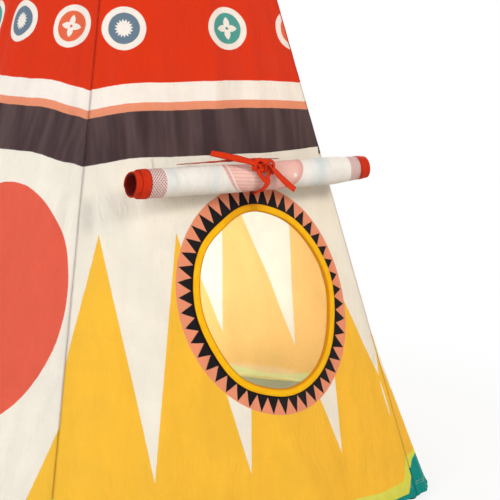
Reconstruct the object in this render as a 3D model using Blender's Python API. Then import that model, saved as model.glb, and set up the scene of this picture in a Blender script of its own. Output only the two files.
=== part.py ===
"""Kids teepee: five wooden poles that cross near their tops, a sewn cloth cover with five sides,
a bound window with its flap rolled up above it, and a door slit with two flaps.

Metres, +Z up. The origin is on the floor under the middle of the whole tent, and the window side
faces -Y. Side 0 of the cover holds the window, and side 3 holds the door. Pole k stands at the
ridge between side k and side k + 1.
"""

import math

import bmesh
import bpy
from mathutils import Matrix, Vector

# Poles
POLE_COUNT = 5
POLE_DIAMETER = 0.020
POLE_LENGTH = 1.70
LOWER_POLE_LENGTH = 0.85
POLE_TIP_ROUNDING = 0.004
FERRULE_LENGTH = 0.090
FERRULE_WALL = 0.0012
SECTION_GAP = 0.0006
POLE_PASS_GAP = 0.0006

# Rubber feet
CAP_WALL = 0.0020
CAP_FLOOR = 0.0050
CAP_HEIGHT = 0.036
CAP_LIP_BEVEL = 0.0012

# Cover: where its ridge lines meet, where they stand on the floor, and its two edges
RIDGE_FOOT_RADIUS = 0.463
COVER_TOP_HEIGHT = 1.065
APEX_RISE = 0.285
HEM_HEIGHT = 0.004
CLOTH = 0.0016
SEAM_GAP = 0.0004
BULGE_SHARE = 0.733
TIGHT_SIDE = 1
TIGHT_BULGE_SHARE = 0.05
TIGHT_HEM_BULGE_SHARE = 0.20
TIGHT_HEM_HEIGHT = 0.30
FOLD_DEPTH = 0.007
FOLD_TOP_HEIGHT = 0.30
FOLDS_PER_SIDE = 3
DOOR_SIDE = 3
WINDOW_SIDE = 0

# Window and its yellow binding
WINDOW_OFFSET = 0.055
WINDOW_HEIGHT = 0.300
WINDOW_HALF_WIDTH = 0.0985
WINDOW_HALF_HEIGHT = 0.1195
WINDOW_LEAN = math.radians(12)
BINDING_WIDTH = 0.007
BINDING_CLOTH = 0.0012
BINDING_PLAY = 0.0009

# Casing round the cover's top edge
TOP_CASING_HEIGHT = 0.022

# Rolled window flap, laid across the cover above the window
ROLL_SEAT_OFFSET = 0.030
ROLL_HEIGHT = 0.461
ROLL_RADIUS = 0.0210
ROLL_CORE_RADIUS = 0.0062
ROLL_LENGTH = 0.352
ROLL_SHIFT = 0.0145
ROLL_TURNS = 3
ROLL_TURN_GAP = 0.0007
FLAP_SEAM_RISE = 0.034
FLAP_SEAM_LENGTH = 0.15
FLAP_TAIL_CLOTH = 0.0014

# Ribbon that ties the roll
RIBBON_SHIFT = 0.028
RIBBON_WIDTH = 0.014
RIBBON_CLOTH = 0.0012
RIBBON_PLAY = 0.0006
KNOT_SIZE = 0.017
KNOT_HEIGHT = 0.009
LONG_TAIL = 0.070
SHORT_TAIL = 0.054
LOOP_TAIL = 0.034

# Straps that hold the poles in the ridges, and elastic loops at the hem
STRAP_CLOTH = 0.0014
STRAP_WIDTH = 0.014
STRAP_TAB = 0.022
STRAP_ROOM = 0.0006
STRAP_HEIGHT = 0.321
LOOP_HEIGHT = 0.060
LOOP_WIDTH = 0.012

# Door: a slit with a flap on each side, which folds open about a line down to the hem
DOOR_HEIGHT = 0.80
DOOR_HALF_WIDTH = 0.205
FLAP_GAP = 0.0010
FLAP_TOP_WIDTH = 0.006
FLAP_FOLD_DEPTH = 0.006
FLAP_FOLDS = 1.5
DOOR_TIE_HEIGHT = 0.42
DOOR_TIE_LENGTH = 0.13
DOOR_TIE_WIDTH = 0.012
DOOR_TIE_SPREAD = 0.020
DOOR_TIE_CLOTH = 0.0012

# Cord wound round the crossing
LASHING_CORD = 0.007
LASHING_TURNS = 4

# Working clearances and mesh counts
GAP = 0.0004
OVERRUN = 0.030
SIDE_COLUMNS = 16
SIDE_ROWS = 12
ROW_CROWDING = 1.4
ROUND_SIDES = 20
OVAL_SIDES = 44

SIDE_ANGLE = 2 * math.pi / POLE_COUNT
HALF_SIDE = SIDE_ANGLE / 2
POLE_RADIUS = POLE_DIAMETER / 2
APEX_HEIGHT = COVER_TOP_HEIGHT + APEX_RISE
STRAP_OUTER = POLE_RADIUS + GAP + STRAP_CLOTH
WIDEST_RADIUS = POLE_RADIUS + GAP + max(STRAP_CLOTH, CAP_WALL)
RIDGE_SLOPE = RIDGE_FOOT_RADIUS / APEX_HEIGHT
FLAT_SLOPE = RIDGE_SLOPE * math.cos(HALF_SIDE)
FLAT_TILT = math.atan(FLAT_SLOPE)
CLOTH_ACROSS = CLOTH / math.cos(FLAT_TILT)
ROLL_PITCH = (ROLL_RADIUS - ROLL_CORE_RADIUS) / (ROLL_TURNS + 1)
UP = Vector((0, 0, 1))


def bulge_share(side, height):
    """How far a side swells from flat, 0, to round, 1. One side hangs tight above its hem."""
    if side == DOOR_SIDE:
        return 0.0
    if side != TIGHT_SIDE:
        return BULGE_SHARE
    low = max(0.0, 1 - height / TIGHT_HEM_HEIGHT)
    return TIGHT_BULGE_SHARE + (TIGHT_HEM_BULGE_SHARE - TIGHT_BULGE_SHARE) * low


def side_slope(side, turn, height):
    """Radius of the cover for each metre below its apex, at an angle from the middle of a side."""
    bulge = bulge_share(side, height)
    flat = math.cos(HALF_SIDE) / math.cos(turn)
    return RIDGE_SLOPE * ((1 - bulge) * flat + bulge)


def hem_fold(side, turn, height):
    """How far the soft folds above the hem stand out. They fade at the ridges and up the side."""
    if side == DOOR_SIDE or height >= FOLD_TOP_HEIGHT:
        return 0.0
    share = (turn + HALF_SIDE) / SIDE_ANGLE
    fade = (1 - height / FOLD_TOP_HEIGHT) ** 2
    middle = math.sin(math.pi * share) ** 2
    return FOLD_DEPTH * fade * middle * math.cos(2 * math.pi * FOLDS_PER_SIDE * share)


def side_radius(side, turn, height):
    """Distance from the tent's axis to the outside of the cover."""
    return side_slope(side, turn, height) * (APEX_HEIGHT - height) + hem_fold(side, turn, height)


def out_from_axis(angle):
    """Level direction at an angle round the tent, 0 towards -Y and growing towards +X."""
    return Vector((math.sin(angle), -math.cos(angle), 0))


def hem_reach(side):
    """How far the hem reaches along the middle direction of a side."""
    steps = range(SIDE_COLUMNS + 1)
    turns = [-HALF_SIDE + SIDE_ANGLE * i / SIDE_COLUMNS for i in steps]
    return max(side_radius(side, turn, HEM_HEIGHT) * math.cos(turn) for turn in turns)


def corner_gap():
    """Level distance from a ridge's inner corner to the middle of the pole in it."""
    half_corner = math.pi / 2 - HALF_SIDE
    return (WIDEST_RADIUS + STRAP_ROOM) / (math.sin(half_corner) * math.cos(FLAT_TILT))


POLE_FOOT_RADIUS = RIDGE_FOOT_RADIUS - CLOTH_ACROSS / math.cos(HALF_SIDE) - corner_gap()


def line_distance(offset, height):
    """Least distance between the middle lines of two neighbouring poles, for a crossing offset."""
    ends = []
    for k in (0, 1):
        out = out_from_axis(k * SIDE_ANGLE)
        across = UP.cross(out)
        foot = out * POLE_FOOT_RADIUS
        cross = across * offset + UP * height
        ends.append((cross, (cross - foot).normalized()))
    normal = ends[0][1].cross(ends[1][1]).normalized()
    return abs((ends[1][0] - ends[0][0]).dot(normal))


def find_crossing():
    """Height at which the poles cross, and how far each passes beside the tent's axis.

    The poles cross low enough to clear the cover's top edge, and pass each other with a gap.
    """
    wanted = POLE_DIAMETER + POLE_PASS_GAP
    offset, height = wanted, COVER_TOP_HEIGHT
    room = (POLE_RADIUS + TOP_CASING_ROOM) / math.cos(FLAT_TILT) + CLOTH_ACROSS
    limit = FLAT_SLOPE * (APEX_HEIGHT - COVER_TOP_HEIGHT) - room
    across = math.cos(HALF_SIDE) * POLE_FOOT_RADIUS
    for _ in range(8):
        aside = math.sin(HALF_SIDE) * offset
        height = COVER_TOP_HEIGHT * (across - aside) / (across - limit)
        offset *= wanted / line_distance(offset, height)
    return height, offset


TOP_CASING_ROOM = 2 * BINDING_PLAY + BINDING_CLOTH
CROSSING_HEIGHT, CROSSING_OFFSET = find_crossing()
REAR_REACH = RIDGE_SLOPE * (APEX_HEIGHT - HEM_HEIGHT)
FRONT_REACH = hem_reach(WINDOW_SIDE)
AXIS = Vector((0, (FRONT_REACH - REAR_REACH) / 2, 0))


def cover_point(side, turn, height, stand_off=0.0):
    """Point at an angle from the middle of a side, at a height, moved out by stand_off."""
    radius = side_radius(side, turn, height) + stand_off
    return AXIS + out_from_axis(side * SIDE_ANGLE + turn) * radius + UP * height


def turn_at(side, offset, height):
    """Angle from the middle of a side at which the cover lies a level distance to its right."""
    turn = 0.0
    for _ in range(12):
        turn = math.asin(offset / side_radius(side, turn, height))
    return turn


def cover_point_at(side, offset, height, stand_off=0.0):
    """The same point as cover_point, given by its level distance from the middle of the side."""
    return cover_point(side, turn_at(side, offset, height), height, stand_off)


def pole_foot(k):
    return AXIS + out_from_axis((k + 0.5) * SIDE_ANGLE) * POLE_FOOT_RADIUS


def pole_pivot(k):
    """Where pole k passes the tent's axis, and so where it turns when the frame folds."""
    across = fold_axis(k)
    return AXIS + across * CROSSING_OFFSET + UP * CROSSING_HEIGHT


def fold_axis(k):
    """Level direction across pole k. Turning about it by the right hand brings the foot in."""
    return UP.cross(out_from_axis((k + 0.5) * SIDE_ANGLE))


def pole_direction(k):
    return (pole_pivot(k) - pole_foot(k)).normalized()


POLE_TILT = pole_direction(0).angle(UP)


def material(name, color, roughness, metallic=0.0):
    found = bpy.data.materials.get(name)
    if found:
        return found
    made = bpy.data.materials.new(name)
    made.use_nodes = True
    shader = made.node_tree.nodes["Principled BSDF"]
    shader.inputs["Base Color"].default_value = (*color, 1)
    shader.inputs["Roughness"].default_value = roughness
    shader.inputs["Metallic"].default_value = metallic
    made.diffuse_color = (*color, 1)
    return made


def canvas():
    return material("printed_canvas", (0.88, 0.80, 0.62), 0.85)


def red_tape():
    return material("red_tape", (0.75, 0.05, 0.02), 0.7)


def yellow_tape():
    return material("yellow_tape", (0.95, 0.45, 0.02), 0.7)


def pine():
    return material("pine", (0.76, 0.55, 0.33), 0.55)


def rubber():
    return material("rubber", (0.06, 0.06, 0.06), 0.8)


def steel():
    return material("steel", (0.62, 0.62, 0.60), 0.3, 1.0)


def webbing():
    return material("webbing", (0.85, 0.82, 0.74), 0.8)


def cotton_cord():
    return material("cotton_cord", (0.86, 0.80, 0.66), 0.85)


def add_object(name, bm, finish, origin, smooth_angle=None):
    """Turns a bmesh in world metres into an object whose origin is at the given point."""
    bmesh.ops.recalc_face_normals(bm, faces=bm.faces)
    bmesh.ops.translate(bm, verts=bm.verts, vec=-origin)
    mesh = bpy.data.meshes.new(name)
    bm.to_mesh(mesh)
    bm.free()
    if smooth_angle is not None:
        mesh.shade_smooth()
        mesh.set_sharp_from_angle(angle=smooth_angle)
    made = bpy.data.objects.new(name, mesh)
    made.location = origin
    bpy.context.scene.collection.objects.link(made)
    made.data.materials.append(finish)
    return made


def cutter(name, bm, origin):
    """A shape that only cuts another: it is drawn as wire and left out of the model."""
    made = add_object(name, bm, material("cutter", (1, 0, 1), 1.0), origin)
    made.hide_render = True
    made.display_type = "WIRE"
    return made


def boolean(target, tool, operation):
    modifier = target.modifiers.new(operation.lower(), "BOOLEAN")
    modifier.operation = operation
    modifier.solver = "EXACT"
    modifier.object = tool


def frame_at(origin, along, side_hint):
    """Matrix whose Z runs along a direction and whose X leans towards a second one."""
    z = along.normalized()
    y = z.cross(side_hint).normalized()
    x = y.cross(z)
    matrix = Matrix((x, y, z)).transposed().to_4x4()
    matrix.translation = origin
    return matrix


def prism(bm, outline, low, high, matrix):
    """Closed solid between two levels of a frame, from the points of a flat outline."""
    bottom = [bm.verts.new(matrix @ Vector((x, y, low))) for x, y in outline]
    top = [bm.verts.new(matrix @ Vector((x, y, high))) for x, y in outline]
    bm.faces.new(bottom[::-1])
    bm.faces.new(top)
    count = len(outline)
    for i in range(count):
        j = (i + 1) % count
        bm.faces.new((bottom[i], bottom[j], top[j], top[i]))


def circle(radius, count=ROUND_SIDES, start=0.0):
    turns = [start + 2 * math.pi * i / count for i in range(count)]
    return [(radius * math.cos(t), radius * math.sin(t)) for t in turns]


def tube(bm, outer, inner, low, high, matrix, count=ROUND_SIDES):
    """Closed pipe between two levels of a frame."""
    rings = []
    for radius, level in ((outer, low), (outer, high), (inner, high), (inner, low)):
        ring = [bm.verts.new(matrix @ Vector((x, y, level))) for x, y in circle(radius, count)]
        rings.append(ring)
    join_rings(bm, rings, closed=True)


def join_rings(bm, rings, closed):
    """Quads between each ring of points and the next, and from the last to the first if closed."""
    pairs = list(zip(rings, rings[1:]))
    if closed:
        pairs.append((rings[-1], rings[0]))
    for one, other in pairs:
        count = len(one)
        for i in range(count):
            j = (i + 1) % count
            bm.faces.new((one[i], one[j], other[j], other[i]))


def grid_solid(bm, outer, inner):
    """Closed sheet from two equal grids of points, its two faces."""
    rows, columns = len(outer), len(outer[0])
    faces = []
    for grid in (outer, inner):
        faces.append([[bm.verts.new(p) for p in row] for row in grid])
    a, b = faces
    for r in range(rows - 1):
        for c in range(columns - 1):
            bm.faces.new((a[r][c], a[r][c + 1], a[r + 1][c + 1], a[r + 1][c]))
            bm.faces.new((b[r][c], b[r + 1][c], b[r + 1][c + 1], b[r][c + 1]))
    edge = [(0, c) for c in range(columns)]
    edge += [(r, columns - 1) for r in range(1, rows)]
    edge += [(rows - 1, c) for c in range(columns - 2, -1, -1)]
    edge += [(r, 0) for r in range(rows - 2, 0, -1)]
    for (r, c), (s, d) in zip(edge, edge[1:] + edge[:1]):
        bm.faces.new((a[r][c], b[r][c], b[s][d], a[s][d]))


def side_heights():
    """Levels of a side's rows, closer together near the hem."""
    rise = COVER_TOP_HEIGHT - HEM_HEIGHT
    return [HEM_HEIGHT + rise * (r / SIDE_ROWS) ** ROW_CROWDING for r in range(SIDE_ROWS + 1)]


def side_turns(side, height, stand_off):
    """Angles of a side's columns, which stop short of the ridge planes by half the seam gap."""
    reach = HALF_SIDE - SEAM_GAP / 2 / (side_radius(side, HALF_SIDE, height) + stand_off)
    return [reach * (2 * c / SIDE_COLUMNS - 1) for c in range(SIDE_COLUMNS + 1)]


def side_sheet(side):
    """One side of the cover as a closed sheet with its soft folds."""
    bm = bmesh.new()
    grids = []
    for stand_off in (0.0, -CLOTH_ACROSS):
        grid = []
        for height in side_heights():
            turns = side_turns(side, height, stand_off)
            grid.append([cover_point(side, turn, height, stand_off) for turn in turns])
        grids.append(grid)
    grid_solid(bm, grids[0], grids[1])
    return bm


def side_frame(side):
    """Frame of a side: X to its right, Y up and Z level outwards, from the tent's axis."""
    out = out_from_axis(side * SIDE_ANGLE)
    matrix = Matrix((UP.cross(out), UP, out)).transposed().to_4x4()
    matrix.translation = AXIS
    return matrix


def window_outline(extra, count=OVAL_SIDES):
    """Points of the window's oval, which leans to the left at its top, widened by extra."""
    points = []
    for i in range(count):
        turn = 2 * math.pi * i / count
        across = (WINDOW_HALF_WIDTH + extra) * math.cos(turn)
        rise = (WINDOW_HALF_HEIGHT + extra) * math.sin(turn)
        x = WINDOW_OFFSET + across * math.cos(WINDOW_LEAN) - rise * math.sin(WINDOW_LEAN)
        y = WINDOW_HEIGHT + across * math.sin(WINDOW_LEAN) + rise * math.cos(WINDOW_LEAN)
        points.append((x, y))
    return points


def make_window_side():
    side = add_object("window_side", side_sheet(WINDOW_SIDE), canvas(), AXIS.copy(), math.radians(30))
    bm = bmesh.new()
    reach = side_radius(WINDOW_SIDE, HALF_SIDE, HEM_HEIGHT) + OVERRUN
    prism(bm, window_outline(0.0), OVERRUN, reach, side_frame(WINDOW_SIDE))
    boolean(side, cutter("window_cutter", bm, AXIS.copy()), "DIFFERENCE")


def door_edge(height):
    """Level distance from the middle of the door to its fold line."""
    share = (DOOR_HEIGHT - height) / (DOOR_HEIGHT - HEM_HEIGHT)
    return DOOR_HALF_WIDTH * share


def make_door_side():
    side = add_object("door_side", side_sheet(DOOR_SIDE), canvas(), AXIS.copy(), math.radians(30))
    bm = bmesh.new()
    low = HEM_HEIGHT - OVERRUN
    outline = [(-door_edge(low), low), (door_edge(low), low), (0.0, DOOR_HEIGHT)]
    reach = side_radius(DOOR_SIDE, HALF_SIDE, HEM_HEIGHT) + OVERRUN
    prism(bm, outline, OVERRUN, reach, side_frame(DOOR_SIDE))
    boolean(side, cutter("door_cutter", bm, AXIS.copy()), "DIFFERENCE")


def make_plain_sides():
    names = {1: "right_side", 2: "rear_side", 4: "left_side"}
    for side in range(POLE_COUNT):
        if side in (WINDOW_SIDE, DOOR_SIDE):
            continue
        name = names.get(side, f"side_{side}")
        add_object(name, side_sheet(side), canvas(), AXIS.copy(), math.radians(30))


def door_hinge(sign):
    """Top and bottom of a door flap's fold line, on the outside of the cloth."""
    top = cover_point(DOOR_SIDE, 0.0, DOOR_HEIGHT)
    bottom = cover_point_at(DOOR_SIDE, sign * DOOR_HALF_WIDTH, HEM_HEIGHT)
    return top, bottom


def make_door_flap(name, sign):
    """Door flap with soft folds that grow from its fold line towards the slit."""
    lean = math.hypot(DOOR_HALF_WIDTH, DOOR_HEIGHT - HEM_HEIGHT) / (DOOR_HEIGHT - HEM_HEIGHT)
    hinge_gap = FLAP_GAP * lean
    slit_gap = FLAP_GAP / 2
    drop = (hinge_gap + slit_gap + FLAP_TOP_WIDTH) / DOOR_HALF_WIDTH
    top = DOOR_HEIGHT - drop * (DOOR_HEIGHT - HEM_HEIGHT)
    out = out_from_axis(DOOR_SIDE * SIDE_ANGLE)
    rows, columns = SIDE_ROWS, SIDE_COLUMNS // 2
    grids = ([], [])
    for r in range(rows + 1):
        height = HEM_HEIGHT + (top - HEM_HEIGHT) * r / rows
        wide = door_edge(height) - hinge_gap
        near = [[], []]
        for c in range(columns + 1):
            share = c / columns
            x = sign * (wide + (slit_gap - wide) * share)
            swell = share * (1 - r / rows) * math.sin(2 * math.pi * FLAP_FOLDS * share)
            for sheet, stand_off in enumerate((0.0, -CLOTH_ACROSS)):
                point = cover_point_at(DOOR_SIDE, x, height, stand_off)
                near[sheet].append(point + out * FLAP_FOLD_DEPTH * swell)
        grids[0].append(near[0])
        grids[1].append(near[1])
    bm = bmesh.new()
    grid_solid(bm, grids[0], grids[1])
    add_object(name, bm, canvas(), door_hinge(sign)[0], math.radians(30))


def make_door_tie(name, sign):
    """Two short ribbons sewn beside the door's fold line, which tie its flap open."""
    frame = side_frame(DOOR_SIDE)
    outer = side_radius(DOOR_SIDE, HALF_SIDE, DOOR_TIE_HEIGHT) * math.sin(HALF_SIDE)
    x = sign * (door_edge(DOOR_TIE_HEIGHT) + outer) / 2
    bm = bmesh.new()
    half = DOOR_TIE_WIDTH / 2
    outline = [(x - half, DOOR_TIE_HEIGHT), (x + half, DOOR_TIE_HEIGHT)]
    low = DOOR_TIE_HEIGHT - DOOR_TIE_LENGTH
    for end in (DOOR_TIE_SPREAD / 2, -DOOR_TIE_SPREAD / 2):
        outline.append((x + end + half, low))
        outline.append((x + end - half, low))
        if end > 0:
            outline.append((x, DOOR_TIE_HEIGHT - DOOR_TIE_WIDTH * 2))
    sheets = []
    for stand_off in (GAP, GAP + DOOR_TIE_CLOTH):
        ring = []
        for px, height in outline:
            depth = FLAT_SLOPE * (APEX_HEIGHT - height) + stand_off
            ring.append(bm.verts.new(frame @ Vector((px, height, depth))))
        sheets.append(ring)
    bm.faces.new(sheets[0][::-1])
    bm.faces.new(sheets[1])
    join_rings(bm, sheets, closed=False)
    bmesh.ops.triangulate(bm, faces=[f for f in bm.faces if len(f.verts) > 4])
    add_object(name, bm, red_tape(), frame @ Vector((x, DOOR_TIE_HEIGHT, 0)))


def make_window_binding():
    """Yellow tape folded over the edge of the window, as a closed channel round the oval."""
    inside = -BINDING_PLAY - BINDING_CLOTH
    front = (BINDING_PLAY, BINDING_PLAY + BINDING_CLOTH)
    back = (-CLOTH_ACROSS - BINDING_PLAY, -CLOTH_ACROSS - BINDING_PLAY - BINDING_CLOTH)
    profile = [
        (inside, front[1]),
        (BINDING_WIDTH, front[1]),
        (BINDING_WIDTH, front[0]),
        (-BINDING_PLAY, front[0]),
        (-BINDING_PLAY, back[0]),
        (BINDING_WIDTH, back[0]),
        (BINDING_WIDTH, back[1]),
        (inside, back[1]),
    ]
    bm = bmesh.new()
    rings = []
    for extra, stand_off in profile:
        points = window_outline(extra)
        ring = [bm.verts.new(cover_point_at(WINDOW_SIDE, x, y, stand_off)) for x, y in points]
        rings.append(ring)
    join_rings(bm, rings, closed=True)
    centre = cover_point_at(WINDOW_SIDE, WINDOW_OFFSET, WINDOW_HEIGHT)
    add_object("window_binding", bm, yellow_tape(), centre, math.radians(40))


def make_top_casing():
    """Red tape folded over the top edge of all five sides."""
    top = COVER_TOP_HEIGHT
    low = top - TOP_CASING_HEIGHT
    front = (BINDING_PLAY, BINDING_PLAY + BINDING_CLOTH)
    back = (-CLOTH_ACROSS - BINDING_PLAY, -CLOTH_ACROSS - BINDING_PLAY - BINDING_CLOTH)
    profile = [
        (low, front[0]),
        (low, front[1]),
        (top + BINDING_PLAY + BINDING_CLOTH, front[1]),
        (top + BINDING_PLAY + BINDING_CLOTH, back[1]),
        (low, back[1]),
        (low, back[0]),
        (top + BINDING_PLAY, back[0]),
        (top + BINDING_PLAY, front[0]),
    ]
    bm = bmesh.new()
    rings = []
    for height, stand_off in profile:
        ring = []
        for side in range(POLE_COUNT):
            for c in range(SIDE_COLUMNS):
                turn = HALF_SIDE * (2 * c / SIDE_COLUMNS - 1)
                ring.append(bm.verts.new(cover_point(side, turn, height, stand_off)))
        rings.append(ring)
    join_rings(bm, rings, closed=True)
    add_object("top_casing", bm, red_tape(), AXIS + UP * top, math.radians(30))


def roll_frame():
    """Frame of the rolled flap: X out from the cover, Y up along it and Z along the roll."""
    turn = turn_at(WINDOW_SIDE, ROLL_SEAT_OFFSET, ROLL_HEIGHT)
    step = math.radians(0.5)
    right = cover_point(WINDOW_SIDE, turn + step, ROLL_HEIGHT)
    left = cover_point(WINDOW_SIDE, turn - step, ROLL_HEIGHT)
    along = (right - left).normalized()
    seat = cover_point(WINDOW_SIDE, turn, ROLL_HEIGHT)
    above = cover_point(WINDOW_SIDE, turn, ROLL_HEIGHT + FLAP_SEAM_RISE)
    up = (above - seat).normalized()
    out = up.cross(along).normalized()
    if out.dot(out_from_axis(0)) < 0:
        out.negate()
    depth = ROLL_RADIUS + FLAP_TAIL_CLOTH + 2 * GAP
    matrix = Matrix((out, up, along)).transposed().to_4x4()
    matrix.translation = seat + out * depth
    return matrix


def flap_seam():
    """Middle of the seam that the rolled flap hangs from."""
    depth = ROLL_RADIUS + FLAP_TAIL_CLOTH + GAP
    return roll_frame() @ Vector((-depth, FLAP_SEAM_RISE, 0))


def roll_surface(turn):
    """Radius of the roll's outer turn at an angle from -pi to pi, counted from straight out."""
    return ROLL_RADIUS - ROLL_PITCH * (math.pi - turn) / (2 * math.pi)


def make_window_flap():
    """The flap rolled up in a spiral, with the strip of cloth that it hangs by."""
    frame = roll_frame()
    steps = ROLL_TURNS * ROUND_SIDES
    cloth = ROLL_PITCH - ROLL_TURN_GAP
    outer, inner = [], []
    for i in range(steps + 1):
        turn = math.pi + 2 * math.pi * (i / ROUND_SIDES - ROLL_TURNS)
        radius = roll_surface(turn)
        outer.append((radius * math.cos(turn), radius * math.sin(turn)))
        inner.append(((radius - cloth) * math.cos(turn), (radius - cloth) * math.sin(turn)))
    half = ROLL_LENGTH / 2
    bm = bmesh.new()
    prism_between(bm, outer, inner, ROLL_SHIFT - half, ROLL_SHIFT + half, frame)
    roll = add_object("window_flap_roll", bm, canvas(), flap_seam(), math.radians(40))
    bm = bmesh.new()
    back = -ROLL_RADIUS - FLAP_TAIL_CLOTH
    outline = [(back, 0.0), (back + 2 * FLAP_TAIL_CLOTH, 0.0), (back + 2 * FLAP_TAIL_CLOTH, FLAP_TAIL_CLOTH)]
    outline += [(back + FLAP_TAIL_CLOTH, FLAP_SEAM_RISE), (back, FLAP_SEAM_RISE)]
    half = FLAP_SEAM_LENGTH / 2
    prism(bm, outline, -half, half, frame)
    boolean(roll, cutter("window_flap_strip", bm, flap_seam()), "UNION")


def prism_between(bm, outer, inner, low, high, matrix):
    """Closed strip of cloth between two lines of points, from one level of a frame to another."""
    grids = []
    for line in (outer, inner):
        grids.append([[matrix @ Vector((x, y, z)) for x, y in line] for z in (low, high)])
    grid_solid(bm, grids[0], grids[1])


def ribbon_strip(bm, frame, start, end, width):
    """Flat straight strip of ribbon between two points of a frame, lying square to X."""
    a, b = Vector(start), Vector(end)
    along = (b - a).normalized()
    across = along.cross(Vector((1, 0, 0))).normalized() * width / 2
    through = along.cross(across).normalized() * RIBBON_CLOTH / 2
    ring_a = [a + across + through, a + across - through, a - across - through, a - across + through]
    ring_b = [p + (b - a) for p in ring_a]
    one = [bm.verts.new(frame @ p) for p in ring_a]
    other = [bm.verts.new(frame @ p) for p in ring_b]
    bm.faces.new(one[::-1])
    bm.faces.new(other)
    join_rings(bm, [one, other], closed=False)


def make_ribbon():
    """Red ribbon round the roll, with its knot, its two ends and a hanging loop."""
    frame = roll_frame() @ Matrix.Translation((0, 0, RIBBON_SHIFT))
    outer_radius = roll_surface(0) + RIBBON_PLAY + RIBBON_CLOTH
    open_angle = math.radians(140)
    outer, inner = [], []
    for i in range(ROUND_SIDES + 1):
        turn = open_angle * (2 * i / ROUND_SIDES - 1)
        near = roll_surface(turn) + RIBBON_PLAY
        far = near + RIBBON_CLOTH
        outer.append((far * math.cos(turn), far * math.sin(turn)))
        inner.append((near * math.cos(turn), near * math.sin(turn)))
    bm = bmesh.new()
    prism_between(bm, outer, inner, -RIBBON_WIDTH / 2, RIBBON_WIDTH / 2, frame)
    ribbon = add_object("flap_ribbon", bm, red_tape(), flap_seam(), math.radians(40))
    bm = bmesh.new()
    knot = frame @ Matrix.Translation((outer_radius + KNOT_HEIGHT / 3, 0, 0))
    bmesh.ops.create_icosphere(bm, subdivisions=2, radius=1.0, matrix=knot @ knot_scale())
    boolean(ribbon, cutter("ribbon_knot", bm, flap_seam()), "UNION")
    front = outer_radius + KNOT_HEIGHT / 2
    lie = outer_radius - KNOT_HEIGHT / 3
    ends = {
        "ribbon_long_end": ((lie, LONG_TAIL * 0.35, -LONG_TAIL * 0.93), RIBBON_WIDTH),
        "ribbon_short_end": ((lie, -SHORT_TAIL * 0.64, SHORT_TAIL * 0.75), RIBBON_WIDTH),
        "ribbon_loop": ((lie, -LOOP_TAIL, LOOP_TAIL * 0.06), RIBBON_WIDTH / 2),
    }
    for name, (end, width) in ends.items():
        bm = bmesh.new()
        ribbon_strip(bm, frame, (front, 0, 0), end, width)
        boolean(ribbon, cutter(name, bm, flap_seam()), "UNION")


def knot_scale():
    return Matrix.Diagonal((KNOT_HEIGHT / 2, KNOT_SIZE / 2, KNOT_SIZE / 2, 1))


def pole_frame(k):
    """Frame of a pole: Z up along it from the floor, X out from the tent."""
    return frame_at(pole_foot(k), pole_direction(k), out_from_axis((k + 0.5) * SIDE_ANGLE))


def pole_start():
    """Where a pole's lower end sits in its rubber foot, along the pole from the floor."""
    return (CAP_FLOOR + POLE_RADIUS * math.sin(POLE_TILT)) / math.cos(POLE_TILT)


def make_pole(k):
    frame = pole_frame(k)
    pivot = pole_pivot(k)
    number = k + 1
    start = pole_start()
    joint = start + LOWER_POLE_LENGTH
    end = start + POLE_LENGTH
    bm = bmesh.new()
    prism(bm, circle(POLE_RADIUS), start, joint - SECTION_GAP / 2, frame)
    add_object(f"pole_{number}_lower", bm, pine(), pivot, math.radians(40))
    bm = bmesh.new()
    prism(bm, circle(POLE_RADIUS), joint + SECTION_GAP / 2, end, frame)
    upper = add_object(f"pole_{number}_upper", bm, pine(), pivot, math.radians(50))
    round_tip(upper, pivot, frame, end)
    bm = bmesh.new()
    inner = POLE_RADIUS + GAP
    low, high = joint - FERRULE_LENGTH / 2, joint + FERRULE_LENGTH / 2
    tube(bm, inner + FERRULE_WALL, inner, low, high, frame)
    add_object(f"pole_{number}_ferrule", bm, steel(), pivot, math.radians(40))


def round_tip(pole, pivot, frame, end):
    """Bevels the rim at a pole's upper end."""
    bm = bmesh.new()
    bm.from_mesh(pole.data)
    tip = frame @ Vector((0, 0, end)) - pivot
    reach = POLE_RADIUS * 1.5
    rim = [e for e in bm.edges if all((v.co - tip).length < reach for v in e.verts)]
    bmesh.ops.bevel(bm, geom=rim, offset=POLE_TIP_ROUNDING, segments=3, affect="EDGES", profile=0.5)
    bm.to_mesh(pole.data)
    bm.free()


def make_foot(k):
    """Rubber foot on a pole, cut level where it stands on the floor."""
    frame = pole_frame(k)
    pivot = pole_pivot(k)
    outer = POLE_RADIUS + GAP + CAP_WALL
    below = outer * math.tan(POLE_TILT) + CAP_FLOOR
    bm = bmesh.new()
    prism(bm, circle(outer), -below, pole_start() + CAP_HEIGHT, frame)
    rim = [e for e in bm.edges if all((frame.inverted() @ v.co).z > 0 for v in e.verts)]
    bmesh.ops.bevel(bm, geom=rim, offset=CAP_LIP_BEVEL, segments=2, affect="EDGES", profile=0.5)
    geometry = bm.verts[:] + bm.edges[:] + bm.faces[:]
    cut = bmesh.ops.bisect_plane(bm, geom=geometry, plane_co=(0, 0, 0), plane_no=UP, clear_inner=True)
    edges = [e for e in cut["geom_cut"] if isinstance(e, bmesh.types.BMEdge)]
    bmesh.ops.contextual_create(bm, geom=edges)
    foot = add_object(f"foot_{k + 1}", bm, rubber(), pivot, math.radians(40))
    bm = bmesh.new()
    high = pole_start() + CAP_HEIGHT + OVERRUN
    prism(bm, circle(POLE_RADIUS + GAP), pole_start() - GAP, high, frame)
    boolean(foot, cutter(f"foot_bore_{k + 1}", bm, pivot), "DIFFERENCE")


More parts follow.
